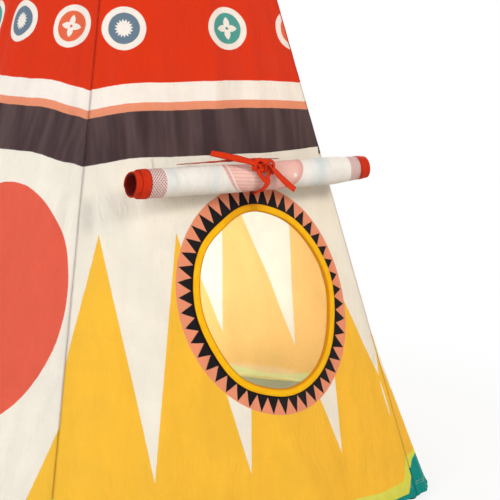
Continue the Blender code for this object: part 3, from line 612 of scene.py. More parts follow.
@group("printed_medallion", "U, V, Radius, Points, Depth, Size, Eye", "Ring, Disc, Motif")
def medallion(u, v, radius, points, depth, size, eye):
    """A pale ring, the disc inside it and a pointed motif with an eye on that."""
    reach = (u * u + v * v) ** 0.5
    wave = (v.maths("ARCTAN2", u) * points / (2 * math.pi) + 0.5).fraction()
    star = radius * size * (1.0 - abs(wave * 2.0 - 1.0) * depth)
    motif = (star - reach).past() * (reach - radius * eye).past()
    return (radius - reach).past(), (radius * 0.72 - reach).past(), motif


@group("wood_grain", "*Place, *Stretch", "Bands, Pores")
def grain(place, stretch):
    """Growth rings of a pole cut along the trunk, with fine pores."""
    base = node("ShaderNodeVectorMath", place, stretch, operation="MULTIPLY")
    swirl = noise(base, 6.0, 3.0)
    bands = ((noise(base, 14.0, 1.0) * 9.0 + swirl * 2.0) * math.pi).sine() * 0.5 + 0.5
    return bands ** 1.5, noise(base, 130.0, 2.0)


STITCHES = stitch_tree()

RED, CREAM, WHITE, CORAL = tone(228, 55, 14), tone(247, 239, 224), tone(252, 242, 231), tone(241, 154, 117)
YELLOW, LIME, TEAL, BLACK = tone(252, 198, 60), tone(228, 226, 84), tone(0, 146, 138), tone(20, 15, 18)
DISC_CORAL, DISC_TEAL, DISC_BLUE = tone(240, 112, 72), tone(88, 165, 155), tone(112, 132, 148)
TAPE_RED, TAPE_YELLOW = tone(212, 48, 8), tone(255, 192, 4)
PLAIN_WHITE = (1.0, 1.0, 1.0, 1.0)


# ---------------------------------------------------------------- finishes

def new_finish(name):
    """A finish and its shader. The sums that follow go into its tree."""
    made = bpy.data.materials.new(name)
    made.use_nodes = True
    Sum.tree = made.node_tree
    return made, made.node_tree.nodes["Principled BSDF"]


def mix_surface(first, second, share, end="Material Output"):
    """Sends a mix of two shaders to the end of the tree being made."""
    feed(Sum.tree.nodes[end].inputs["Surface"], node("ShaderNodeMixShader", share, first, second))


def cloth_finish(name, paint, pale=0.0, pitch=0.0011, slub=0.15, through=0.22, rough=0.70, sheen=0.02, crease=0.0011):
    """Woven cotton in the colours of paint(u, v). pale fades the colours, as on the back of a print; near the hem and
    on the ground flaps they fade further, a painted light.
    """
    made, shader = new_finish(name)
    cut = node("ShaderNodeUVMap", uv_map="cut")
    u, v, _ = split(cut)
    colour = paint(u, v)
    height, shade = weave(cut, pitch, slub)
    ridge, patch, streak = creases(cut, 26.0)
    # Paler still over the last centimetres above the hem and on the ground flaps: painted light on the inside there
    if pale:
        colour = blend(colour, tone(255, 250, 236), v.step(1.385, 1.40, pale, pale + 0.25))
    # Random patches and the yarn's tone vary the colour, and the long streaks darken and lighten it: painted shade of
    # the folds
    mottle_and_fold_shade = patch.step(0.35, 0.75, 0.965, 1.02) * streak.step(0.30, 0.70, 0.965, 1.015) * shade
    colour = blend(colour, mottle_and_fold_shade, 1.0, "MULTIPLY")
    normal = bump(height, 0.00022, bump(ridge + streak * 1.8, crease * 2.0, None, 0.6), 0.8)
    fill(shader, {
        "Base Color": colour, "Roughness": patch.step(0.3, 0.8, rough - 0.07, rough + 0.08), "Normal": normal,
        "Sheen Weight": sheen, "Sheen Roughness": 0.5, "Specular IOR Level": 0.15,
    })
    if through:
        glow = node("ShaderNodeBsdfTranslucent", inputs={"Color": colour, "Normal": normal})
        mix_surface(Sum(shader.outputs[0]), glow, through)
    return made


def bands(u, v):
    """The stripes round the top of the cover, from the red down to the cream."""
    # The brown is streaked darker and lighter down its length: painted shade and sheen of its folds
    hung = noise(join(u + v * 0.03, v * 0.10, 5.0), 40.0, 3.0, 0.55)
    brown = blend(tone(70, 50, 51), tone(98, 76, 75), hung.step(0.36, 0.68))
    edges = (
        (0.330, brown), (0.352, CORAL), (0.364, CREAM), (0.392, RED),
        (0.7957, WHITE), (0.823, CORAL), (0.8346, brown), (0.8987, CREAM),
    )
    return layers(RED, *((over, v.past(edge)) for edge, over in edges))


def stamped(colour, u, v, middle_u, middle_v, disc, *motif):
    """A medallion laid over the colour."""
    ring, inside, star = medallion(u - middle_u, v - middle_v, MEDALLION_RADIUS, *motif)
    return layers(colour, (WHITE, ring), (disc, inside), (WHITE, star))


def spikes(u, v, tips):
    """Inside of a row of spikes, each given by its tip and the slopes of its two edges."""
    found = spike(u, v, *tips[0])
    for tip in tips[1:]:
        found = found.most(spike(u, v, *tip))
    return found


def skirt(colour, u, v, side):
    """Lime and teal bands at the hem, which climb towards the ridges."""
    if side == REAR_SIDE:
        lime = v + ((u + 0.075) * (u + 0.075) * 2.5).least(0.055) - 1.4045
        teal = v + ((u + 0.066) * (u + 0.066) * 3.5).least(0.050) - 1.4345
    elif side == TIGHT_SIDE:
        lime = v + abs(u).step(0.12, 0.20, 0.0, 0.056) - 1.395
        teal = v + abs(u).step(0.14, 0.222, 0.0, 0.0632) - abs(u).step(0.228, 0.262, 0.0, 0.011) - 1.408
    else:
        lime = v + u * u * 0.4285 + abs(u).step(0.256, 0.2675, 0.0, 0.034) - 1.3998
        teal = v + u * u * 0.2568 + abs(u).step(0.262, 0.276, 0.0, 0.028) - 1.408
    return layers(colour, (LIME, lime.past()), (TEAL, teal.past()))


# For each side, the tip of each yellow spike on the cut map and the slopes of its two edges
SIDE_SPIKES = (
    (
        (-0.170, 0.993, 2.67, 8.67), (-0.066, 1.001, 5.03, 4.98), (0.0385, 1.0284, 8.15, 2.67),
        (0.1533, 1.0403, 60.0, 2.2), (0.2365, 1.160, 40.0, 6.0), (-0.285, 1.0, 6.0, 7.4),
    ), (
        (-0.225, 1.155, 0.3, 6.0), (-0.135, 0.998, 5.2, 4.6), (-0.030, 1.0, 5.0, 6.1),
        (0.070, 0.997, 6.4, 3.6), (0.170, 1.0, 5.2, 5.0),
    ), (
        (-0.215, 1.02, 4.0, 4.0), (-0.148, 1.0, 1.2, 26.0), (-0.025, 1.0, 3.05, 13.0),
        (0.093, 1.0, 3.5, 4.4), (0.200, 1.02, 5.0, 5.0),
    ),
    ((-0.165, 1.0, 4.8, 5.2), (-0.055, 1.0, 6.2, 5.6), (0.055, 1.0, 5.6, 6.2), (0.165, 1.0, 5.2, 4.8)),
    ((-0.155, 1.0, 4.9, 5.6), (-0.050, 0.998, 5.4, 4.8), (0.265, 1.17, 5.0, 6.0)),
)

# Motifs of the medallions: points, how deep they are cut, size and eye
SUN, PETALS = (16.0, 0.30, 0.43, 0.0), (4.0, 0.62, 0.52, 0.07)
STAR, BLOOM = (6.0, 0.50, 0.50, 0.10), (8.0, 0.45, 0.50, 0.12)

# For each side, the middle of each medallion on the cut map, the colour of its disc and its motif
MEDALLIONS = (
    ((-0.106, 0.7143, DISC_BLUE, *SUN), (0.040, 0.7222, DISC_TEAL, *PETALS), (0.157, 0.7190, DISC_CORAL, *STAR)),
    ((-0.098, 0.715, DISC_CORAL, *PETALS), (0.0, 0.715, DISC_BLUE, *SUN), (0.098, 0.715, DISC_TEAL, *BLOOM)),
    ((-0.098, 0.715, DISC_TEAL, *PETALS), (0.0, 0.715, DISC_CORAL, *STAR), (0.098, 0.715, DISC_BLUE, *SUN)),
    ((-0.070, 0.715, DISC_BLUE, *SUN), (0.070, 0.715, DISC_TEAL, *PETALS)),
    ((-0.098, 0.715, DISC_TEAL, *BLOOM), (0.0, 0.715, DISC_BLUE, *SUN), (0.100, 0.7132, DISC_CORAL, *PETALS)),
)

# Where the bands hang higher on a side: middle, half width and rise
RAISED = {WINDOW_SIDE: (-0.110, 0.045, 0.0042), LEFT_SIDE: (0.092, 0.038, 0.0046)}


def window_ring(colour, u, v):
    """The ring of dark triangles on coral round the window."""
    outer, angle = oval(u, v, 0.0545, 1.1016, 0.1295, 0.1590, 0.152)
    inner, _ = oval(u, v, 0.0560, 1.1032, 0.1085, 0.1325, 0.137)
    share = (inner - 1.0) / (inner - outer).most(0.02)
    wave = (angle * (46.0 / (2 * math.pi))).fraction()
    tooth = 0.12 + (1.0 - abs(wave * 2.0 - 1.0)) * (abs(angle.sine()) * 0.13 + 0.75)
    inside = (1.0 - outer).past(0.0, 0.004)
    return layers(colour, (CORAL, inside), (BLACK, (tooth - share).past(0.0, 0.03) * inside))


def side_paint(side):
    """The print of one side of the cover, on its cut map, with a painted shadow along its ridge seams."""
    def paint(u, v):
        waver = noise(join(u, v), 90.0, 1.0) - 0.5
        u, v = u + waver * 0.0009, v + waver * 0.0011
        raised = v
        if side in RAISED:
            middle, wide, high = RAISED[side]
            off = (u - middle) / wide
            raised = v + (off * off * -1.0).exponent() * high
        colour = bands(u, raised)
        for placed in MEDALLIONS[side]:
            colour = stamped(colour, u, v, *placed)
        colour = blend(colour, YELLOW, spikes(u, v, SIDE_SPIKES[side]).past(0.0, 0.0012))
        colour = skirt(colour, u, v, side)
        if side == WINDOW_SIDE:
            gap, _ = oval(u, v, 0.2412, 1.252, 0.0014, 0.025, 0.22)
            colour = window_ring(blend(colour, CREAM, (1.0 - gap).past(0.0, 0.2)), u, v)
        if side == LEFT_SIDE:
            reach, _ = oval(u, v, 0.075, 1.11, 0.137, 0.170, 0.0)
            circle = ((CREAM, 1.08), (tone(235, 100, 75), 1.0))
            colour = layers(colour, *((over, (edge - reach).past(0.0, 0.004)) for over, edge in circle))
        # Painted shadow of the ridge seam: a thin strip beside each ridge is darkened
        seam = v * (0.1943 if side in (TIGHT_SIDE, DOOR_SIDE) else 0.2009) - abs(u)
        return blend(colour, tone(120, 40, 30), seam.step(0.0010, 0.0034, 0.24, 0.0), "MULTIPLY")
    return paint


def faded(u, v, most):
    """Uneven fading along a tape."""
    return noise(join(u * 3.0, v), 60.0, 3.0).step(0.45, 0.8, 0.0, most)


def tape_finish(name, base, edge, width, through=0.12, deep=None):
    """Sewn cotton tape: darker along its two edges, with a fine rib across it. Past deep along its map it is painted
    dark red, a painted shade for the inner turns of the roll.
    """
    def paint(u, v):
        colour = layers(base, (edge, abs(u / width * 2.0 - 1.0).step(0.72, 1.0)), (edge, faded(u, v, 0.35)))
        # past deep the tape is painted dark red: painted shade inside the roll
        return blend(colour, tone(112, 12, 4), v.step(deep, deep + 0.03)) if deep else colour
    return cloth_finish(name, paint, pitch=0.0008, slub=0.3, through=through, rough=0.72, sheen=0.03, crease=0.0006)


def binding_paint(u, v):
    """The window's tape: its map starts at the outer edge. It is painted darker orange where it folds over, a painted
    shade, and over the top of the ring, a painted shade where the fold lies in shadow; a thin dark line runs along its
    outer edge.
    """
    return layers(
        TAPE_YELLOW, (tone(246, 170, 2), faded(u, v, 0.5)),
        # painted shade where the tape folds over the window's edge
        (tone(216, 134, 2), u.step(0.0068, 0.0096) * u.step(0.0125, 0.0150, 1.0, 0.0)),
        # painted shade over the top of the ring, where the fold lies in shadow
        (tone(222, 142, 6), v.step(0.115, 0.150) * v.step(0.175, 0.215, 1.0, 0.0) * 0.55),
        (tone(150, 84, 6), u.step(0.0003, 0.0009, 1.0, 0.0)),
    )


def flap_paint(u, v):
    """The rolled flap: its map runs along the roll, and back along the cloth from the seam it hangs by."""
    # Bluish-grey patches on the plain cloth: painted shade of its wrinkles
    wrinkle_shade = noise(join(u * 30.0, v * 5.0), 1.0, 2.0)
    cross = ((u + v) * (2 * math.pi / 0.0047)).sine().least(((u - v) * (2 * math.pi / 0.0047)).sine())
    hatched = blend(tone(248, 218, 210), tone(158, 102, 106), cross.step(-0.40, 0.05))
    edge = (0.0397 - u).past(0.0, 0.001).most((u - FLAP_WIDTH + 0.027).past(0.0, 0.001))
    reach, _ = oval(u, v, 0.192, 0.045, 0.060, 0.053, 0.0)
    line, _ = oval(u, v, 0.1985, 0.043, 0.060, 0.060, 0.0)
    vein = ((u * 0.6 - v + abs(u - 0.192) * 0.5) * (2 * math.pi / 0.0052)).sine().step(0.2, 0.95)
    dot = (u - 0.2365) * (u - 0.2365) + (v - 0.0655) * (v - 0.0655)
    rose = layers(
        tone(255, 212, 200), (tone(240, 168, 156), vein * 0.6),
        (tone(222, 138, 130), reach.step(0.80, 1.0, 0.0, 0.45)),
        (WHITE, (0.0011 - abs(line - 1.0) * 0.055).past(0.0, 0.0004) * (0.19 - u).past()),
        (WHITE, (0.0000085 - dot).past(0.0, 0.000002)),
    )
    return layers(
        tone(250, 244, 236), (tone(220, 230, 232), wrinkle_shade.step(0.48, 0.74, 0.0, 0.75)), (hatched, edge),
        (rose, (1.0 - reach).past(0.0, 0.012)), (CREAM, (0.006 - v).past(0.0, 0.001)),
    )


def flap_back_paint(u, v):
    """The flap's back, with the wide red hem of its free edge painted dark red, a painted shade for the hollow of the
    roll where that edge lies.
    """
    return blend(flap_paint(u, v), tone(104, 12, 4), (v - 0.225).past(0.0, 0.001))


def web_paint(u, v):
    rib = (v * (2 * math.pi / 0.0022)).sine().step(-0.6, 0.7)
    line = (abs(u - 0.007) - 0.0052).past(0.0, 0.0003)
    return layers(tone(232, 226, 210), (tone(206, 198, 180), rib), (tone(186, 176, 156), line * 0.6))


def elastic_paint(u, v):
    return blend(tone(34, 33, 35), tone(72, 70, 72), (u * (2 * math.pi / 0.0016)).sine().step(-0.5, 0.7))


def cord_paint(u, v):
    twist = ((v / 0.0062 + u / 0.004) * (2 * math.pi)).sine().step(-0.6, 0.8)
    return blend(tone(196, 180, 146), tone(236, 226, 200), twist)


def thread_finish(name, base, shade):
    def paint(u, v):
        return blend(base, shade, noise(join(u, v), 70.0, 3.0).step(0.4, 0.75))
    return cloth_finish(name, paint, pitch=0.0005, through=0.0)


def solid_finish(name, paint, metal=0.0):
    """A hard finish. paint(place) gives its colour, its roughness, its relief and how deep that is."""
    made, shader = new_finish(name)
    colour, rough, relief, deep = paint(node("ShaderNodeTexCoord", output="Object"))
    fill(shader, {"Base Color": colour, "Roughness": rough, "Normal": bump(relief, deep), "Metallic": metal})
    return made


def pine_paint(place):
    rings, pores = grain(place, (9.0, 9.0, 0.9))
    colour = layers(
        tone(226, 184, 128), (tone(188, 134, 80), rings), (tone(150, 100, 58), pores.step(0.58, 0.78, 0.0, 0.45)))
    return colour, pores.step(0.3, 0.8, 0.42, 0.62), rings * 0.4 + pores * 0.6, 0.0003


def steel_paint(place):
    x, y, z = split(place)
    brushed = noise(join(x * 30.0, y * 30.0, z * 1200.0), 1.0, 3.0)
    colour = blend(tone(200, 200, 198), tone(168, 168, 166), noise(place, 40.0, 3.0))
    return colour, brushed.step(0.25, 0.75, 0.22, 0.44), brushed, 0.00005


def rubber_paint(place):
    dust = noise(place, 45.0, 4.0)
    colour = blend(tone(32, 32, 33), tone(92, 90, 86), dust.step(0.52, 0.85, 0.0, 0.6))
    return colour, dust.step(0.3, 0.8, 0.55, 0.85), noise(place, 900.0, 2.0), 0.0002


OUTSIDE = [cloth_finish(f"print_{name}", side_paint(i)) for i, name in enumerate(SIDE_NAMES)]
INSIDE = [cloth_finish(f"print_back_{name}", side_paint(i), pale=0.25) for i, name in enumerate(SIDE_NAMES)]
RED_TAPE = tape_finish("red_cotton_tape", TAPE_RED, tone(160, 22, 4), 0.022)
# its inner turns get painted shade of the roll's hollow
ROLL_TAPE = tape_finish("red_tape_of_the_roll", TAPE_RED, tone(150, 22, 4), 0.0236, deep=0.20)
RIBBON = tape_finish("red_ribbon", tone(226, 54, 10), tone(176, 26, 4), RIBBON_WIDTH, 0.15)
YELLOW_TAPE = cloth_finish("yellow_cotton_tape", binding_paint, pitch=0.0008, slub=0.3, through=0.12, crease=0.0006)
FLAP_FRONT = cloth_finish("flap_print", flap_paint, crease=0.0014)
FLAP_BACK = cloth_finish("flap_print_back", flap_back_paint, crease=0.0014)
WEBBING = cloth_finish("cotton_webbing", web_paint, pitch=0.0012, through=0.0)
ELASTIC = cloth_finish("black_elastic", elastic_paint, pitch=0.0012, through=0.0)
CORD = cloth_finish("cotton_cord", cord_paint, pitch=0.0011, through=0.0)
PALE_THREAD = thread_finish("pale_thread", tone(236, 226, 204), tone(206, 192, 164))
RED_THREAD = thread_finish("red_thread", tone(206, 40, 20), tone(150, 20, 10))
YELLOW_THREAD = thread_finish("yellow_thread", tone(232, 140, 10), tone(200, 108, 4))
PINE, RUBBER = solid_finish("oiled_pine", pine_paint), solid_finish("black_rubber", rubber_paint)
STEEL = solid_finish("brushed_steel", steel_paint, 1.0)


# ---------------------------------------------------------------- cover

def half_grid(side, hand, rows, columns):
    """Turns and heights of the grid of half a side, its columns running to the right and closer at the ridge."""
    height = HEM + (TOP - HEM) * np.linspace(0, 1, rows)
    start = np.abs(turn_at(side, door_edge(height), height)) if side == DOOR_SIDE else np.zeros(rows)
    close = np.array((0.006, 0.0042, 0.0028, 0.0016, 0.0007, 0.00003))
    last = 1 - close[None, :] / (RIDGE_SLOPE * (APEX - height) * HALF_SIDE)[:, None]
    first = start[:, None] / HALF_SIDE
    main = first + (last[:, :1] - first) * np.linspace(0, 1, columns, endpoint=False)
    turns = (hand * HALF_SIDE * np.concatenate((main, last), 1))[:, ::hand]
    return turns, np.broadcast_to(height[:, None], turns.shape)


def ridge_tuck(turn, height):
    """How far the cloth turns in at its ridge seam."""
    away = RIDGE_SLOPE * (APEX - height) * (HALF_SIDE - np.abs(turn))
    return -0.0024 * clamp(1 - away / 0.0034) ** 2


def hem_fold(height):
    """1 where the cloth is doubled by its hem."""
    return 1 - rise(0.013, 0.017, height)


def cut_window(turns, heights):
    """Moves the grid's nearest points onto the window's edge, and tells which cells stay."""
    level = np.sin(turns) * slope(WINDOW_SIDE, turns, heights) * (APEX - heights)
    reach = window_reach(level, heights, 0.0012)
    kept = reach[:-1, :-1] + reach[1:, :-1] + reach[:-1, 1:] + reach[1:, 1:] > 4
    beside = [np.zeros(reach.shape, bool) for _ in range(2)]
    for found, cells in zip(beside, (kept, ~kept)):
        for rows in (slice(0, -1), slice(1, None)):
            for columns in (slice(0, -1), slice(1, None)):
                found[rows, columns] |= cells
    edge = beside[0] & beside[1]
    x, z = WINDOW[:2]
    heights = np.where(edge, z + (heights - z) / reach, heights)
    turns = np.where(edge, turn_at(WINDOW_SIDE, x + (level - x) / reach, heights), turns)
    return turns, heights, kept


def make_side(side):
    """Both halves of a side. The door's side is open between them."""
    rows, columns = (236, 66) if side == WINDOW_SIDE else (170, 44)
    grids = [half_grid(side, hand, rows, columns) for hand in (-1, 1)]
    halves, last = (slice(None), slice(None)), columns + 5
    if side != DOOR_SIDE:
        whole = [np.concatenate((left, right[:, 1:]), 1) for left, right in zip(*grids)]
        grids, halves = (whole, whole), (slice(0, last + 1), slice(last, None))
    for hand, (turn, height), half in zip((-1, 1), grids, halves):
        kept = np.ones((rows - 1, turn.shape[1] - 1), bool)
        if side == WINDOW_SIDE:
            turn, height, kept = cut_window(turn, height)
        points = cover(side, turn, height, ridge_tuck(turn, height))
        points, normals, turn, height = (grid[:, half] for grid in (points, grid_normals(points), turn, height))
        kept = kept[:, half][:, :last]
        places = spread(side, turn, height)
        thick = CLOTH * (1 + hem_fold(height))
        piece = sheet_mesh(half_name(side, hand), points, places, thick, [OUTSIDE[side], INSIDE[side]], kept, normals)
        hang(piece, side, hand, SIDE_NAMES[side] if hand > 0 else None)


def make_ground_flaps():
    """Cloth that turns in at the hem and lies on the floor, on every side but the door's."""
    inset = np.array((0.0021, 0.0024, 0.0040, 0.0090, 0.018, 0.030, 0.043, 0.056, 0.068, 0.078))[:, None]
    level = np.array((0.0105, 0.0065, 0.0044, 0.0036, *[0.0034] * 6))[:, None]
    for side, hand in HALVES:
        if side == DOOR_SIDE:
            continue
        turn = (np.linspace(0.004, 0.83 * HALF_SIDE, 36)[None, :] * hand)[:, ::hand]
        turn, depth = np.broadcast_arrays(turn, inset)
        points, places = cover(side, turn, HEM, -depth), spread(side, turn, HEM)
        points[..., 2] = level + 0.0012 * rise(0.004, 0.03, inset) * (1 + np.sin(turn * 23 + inset * 60 + side))
        places[..., 1] += inset
        name = half_name(side, hand)
        piece = sheet_mesh(f"ground_flap_{name}", points, places, 0.0012, [INSIDE[side], OUTSIDE[side]])
        hang(piece, side, hand)


def make_cover_stitches():
    """Two rows of stitches along the hem, and one beside the door."""
    for side, hand in HALVES:
        lines = []
        for height in HEM_SEAMS:
            near = float(turn_at(side, float(door_edge(height)), height)) + 0.012 if side == DOOR_SIDE else 0.0
            lines.append(seam_line(side, np.linspace(near, HALF_SIDE * 0.975, 90) * hand, height, SEAM_LIFT))
        if side == DOOR_SIDE:
            height = np.linspace(0.02, DOOR_HEIGHT - 0.02, 120)
            turn = turn_at(side, hand * (door_edge(height) + 0.006), height)
            lines.append(seam_line(side, turn, height, SEAM_LIFT))
        hang(sew(f"stitches_{half_name(side, hand)}", lines, PALE_THREAD, width=0.00045, height=0.0004), side, hand)


def make_top_casing():
    """Red tape folded over the top edge, one piece for each half of a side."""
    low, top = TOP - 0.022, TOP + 0.0021
    tall = TOP - 0.001 - low
    profile = [(low, 0.0009)]
    profile += [(low + tall * s, 0.0016 + 0.0003 * math.sin(math.pi * s)) for s in (0.06, 0.3, 0.6, 0.85, 1.0)]
    profile += [(TOP + 0.0012, 0.0012), (top, 0.0002), (top + 0.0002, -0.0008), (top, -0.0018), (TOP + 0.0012, -0.0028)]
    profile += [(low + tall * s, -0.0032) for s in (1.0, 0.6, 0.3, 0.0)]
    for side, hand in HALVES:
        turn = (np.linspace(0, 1, 30) * HALF_SIDE * hand)[::hand]
        wave = 0.0004 * np.sin(turn * slope(side, turn) * (APEX - TOP) * 2 * math.pi / 0.009 + side)
        points = np.stack([cover(side, turn, z, lift + wave * (0.4 if lift > 0 else 0.0)) for z, lift in profile])
        places = maps(lengths(np.array(profile))[:, None] / 2, turn * 0.0977)
        name = half_name(side, hand)
        piece = sheet_mesh(f"top_tape_{name}", points, places, TAPE_THICKNESS, [RED_TAPE])
        hang(piece, side, hand, "top_casing" if (side, hand) == (WINDOW_SIDE, 1) else None)
        turn = np.linspace(0.01, HALF_SIDE * 0.98, 40) * hand
        lines = [seam_line(side, turn, height, 0.0022) for height in (low + 0.0026, TOP - 0.003)]
        hang(sew(f"top_tape_stitches_{name}", lines, RED_THREAD), side, hand)


def make_window_binding():
    """Yellow tape folded over the window's edge, split where the two halves of the side meet."""
    profile = (
        (0.0070, 0.0009), (0.0068, 0.0017), (0.0045, 0.0022), (0.0015, 0.0023), (-0.0005, 0.0020), (-0.0015, 0.0011),
        (-0.0018, -0.0003), (-0.0016, -0.0017), (-0.0008, -0.0026), (0.0015, -0.0030), (0.0045, -0.0031),
        (0.0068, -0.0029),
    )
    for hand, label, count in ((-1, "left", 90), (1, "right", 150)):
        rows, places = [], []
        for length, (more, lift) in zip(lengths(np.array(profile)), profile):
            across, height, angle = window_line(hand, more, count)
            if 0.001 < more < 0.0065 and lift > 0:
                lift = lift + (0.0004 * np.sin(angle * 41) + 0.0003 * np.sin(angle * 17 + 1.0))
            rows.append(cover(WINDOW_SIDE, turn_at(WINDOW_SIDE, across, height), height, lift))
            places.append(maps(length, angle * 0.105))
        points, places = np.stack(rows)[::-1], np.stack(places)[::-1]
        piece = sheet_mesh(f"window_tape_{label}", points, places, BINDING_THICKNESS, [YELLOW_TAPE])
        hang(piece, WINDOW_SIDE, hand, "window_binding" if hand > 0 else None)
        lines = []
        for more in (0.0056, 0.0014):
            across, height, _ = (line[1:-1] for line in window_line(hand, more, count))
            lines.append(seam_line(WINDOW_SIDE, turn_at(WINDOW_SIDE, across, height), height, 0.0026))
        hang(sew(f"window_tape_stitches_{label}", lines, YELLOW_THREAD), WINDOW_SIDE, hand)


def make_ridge_tapes():
    """The bound seam allowance inside each ridge."""
    height = np.linspace(0.022, TOP - 0.026, 150)[:, None]
    away = np.array((0.0012, 0.0025, 0.0045, 0.0065, 0.0085))
    lift = -0.0019 - 0.0002 * np.sin(height * 190) - np.array((0.0, 0.0002, 0.0003, 0.0002, 0.0))
    for k in range(SIDES):
        side, hand = (k, 1) if (k + 1) % SIDES != DOOR_SIDE else (DOOR_SIDE, -1)
        turn = hand * (HALF_SIDE - away / (RIDGE_SLOPE * (APEX - height)))
        points, places = cover(side, turn, height, lift)[:, ::-hand], maps(away * 2, height)[:, ::-hand]
        tape = sheet_mesh(f"ridge_tape_{k + 1}", points, places, BINDING_THICKNESS, [RED_TAPE])
        hang(tape, side, hand)


# ---------------------------------------------------------------- rolled flap and its ribbon

def make_roll():
    """The flap rolled round itself, its last turn set back at the left end, with bound ends."""
    turns, per_turn, core, bound, neck_length = 3.0, 46, 0.0135, 7, 0.034
    steps = int(turns * per_turn) + 1
    share = np.linspace(0, 1, steps)
    turn = math.pi - 2 * math.pi * turns + 2 * math.pi * np.linspace(0, turns, steps)
    ends = np.concatenate((
        np.linspace(0, 0.0145, bound), np.linspace(0.020, FLAP_WIDTH - 0.015, 74),
        np.linspace(FLAP_WIDTH - 0.010, FLAP_WIDTH, bound),
    ))
    place = (ends / FLAP_WIDTH)[:, None]
    radius_out = 0.0204 - 0.0040 * rise(0.80, 1.0, place) + 0.0004 * np.sin(place * 9.0)
    radius = core + (radius_out - core) * share ** 0.95
    wobble = 0.0004 * np.sin(3 * turn + 14 * place) + 0.0003 * np.sin(2 * turn - 23 * place)
    tied = 1 - 0.07 * hump(ends + ROLL_LEFT - RIBBON_PLACE + 0.004, 0.010)
    radius = (radius + wobble * (0.3 + 0.7 * share)) * tied[:, None]
    back = rise(0.66, 0.70, share)
    along = ROLL_LEFT + ends[:, None] + (0.0088 * back + 0.0012 * np.sin(turn)) * (1 - place) ** 6
    along = along + (radius[:1] * np.cos(turn) * 0.16 + 0.0022) * (1 - place) ** 8
    along = along - (0.006 * back + 0.0015 * np.sin(turn + 1)) * place ** 6
    sag = -0.0020 * np.sin(math.pi * place) + 0.0012 * rise(0.8, 1.0, place)
    round_it = ROLL_OUT * (np.cos(turn) * radius)[..., None] + ROLL_UP * (np.sin(turn) * radius)[..., None]
    points = ROLL_CENTRE + round_it + ROLL_ALONG * along[..., None] + ROLL_UP * sag[..., None]
    section = radius[40]  # near the roll's middle
    length = np.concatenate(([0], np.cumsum(np.diff(turn) * (section[1:] + section[:-1]) / 2)))
    neck = np.linspace(0, 1, 10)[1:]
    start = points[:, -1]
    seam = ROLL_CENTRE + ROLL_ALONG * along[:, -1:] + ROLL_UP * neck_length - ROLL_OUT * 0.0216
    tail = start[:, None] + (seam - start)[:, None] * neck[None, :, None]
    laid = cover(WINDOW_SIDE, turn_at(WINDOW_SIDE, tail[..., 0], tail[..., 2]), tail[..., 2], 0.0017)
    tail = tail + (laid - tail) * rise(0.0, 0.4, neck)[None, :, None]
    points = np.concatenate((points, tail), 1)[:, ::-1]
    from_seam = np.concatenate((length[-1] - length, -neck_length * neck))[::-1]
    kept = np.ones((len(ends) - 1, points.shape[1] - 1), bool)
    middle = (ends[:-1] + ends[1:]) / 2
    kept[:, :len(neck)] = ((middle > 0.050) & (middle < 0.310))[:, None]
    normals = grid_normals(points)
    finishes = [FLAP_FRONT, FLAP_BACK]
    piece = sheet_mesh("rolled_flap", points, maps(ends[:, None], from_seam), 0.0010, finishes, kept, normals)
    hang_on_flap(piece, "window_flap_roll")
    wound, outward = points[:, len(neck):], normals[:, len(neck):]
    for label, order in (("left", range(bound)), ("right", range(-1, -bound - 1, -1))):
        edge, out = [wound[i] for i in order], [outward[i] for i in order]
        lip = edge[0] - unit(edge[1] - edge[0]) * 0.0009 - out[0] * 0.0005
        above = [edge[i] + out[i] * lift for i, lift in ((6, 0.0005), (5, 0.0006), (2, 0.0005), (0, 0.0003))]
        below = [edge[i] - out[i] * lift for i, lift in ((0, 0.0013), (2, 0.0014), (5, 0.0014), (6, 0.0013))]
        grid = np.stack((*above, lip, *below))
        spots = maps(0.0029 * np.arange(len(grid))[:, None], from_seam[len(neck):])
        if label == "left":
            grid, spots = grid[::-1], spots[::-1]
        hang_on_flap(sheet_mesh(f"rolled_flap_tape_{label}", grid, spots, 0.0004, [ROLL_TAPE]))


def ribbon_strip(name, knots, faces, width, node_name=None, cup=0.0008, narrow=1.0, count=70):
    """A length of ribbon along a smooth path by the roll. Knots and faces are out, up and along."""
    knots = np.asarray(knots, float)
    faces = knots * (1, 1, 0) if faces is None else np.asarray(faces, float)
    path = smooth_path(knots @ ROLL_AXES + RIBBON_MIDDLE, count)
    place, knot_place = np.linspace(0, 1, count), np.linspace(0, 1, len(faces))
    facing = np.stack([np.interp(place, knot_place, axis) for axis in faces.T], -1) @ ROLL_AXES
    along = unit(np.gradient(path, axis=0))
    wide = unit(np.cross(facing, along))
    out, length, s = np.cross(along, wide), lengths(path)[:, None], np.linspace(-1, 1, 9)
    taper = 1 - (1 - narrow) * np.exp(-(length / 0.008))
    bow = cup * (1 - s * s) + 0.00025 * np.sin(length * 260 + s * 2)
    grid = path[:, None] + wide[:, None] * (s * width / 2 * taper)[..., None] + out[:, None] * bow[..., None]
    piece = sheet_mesh(name, grid, maps((s + 1) / 2 * RIBBON_WIDTH, length), RIBBON_THICKNESS, [RIBBON])
    hang_on_flap(piece, node_name)


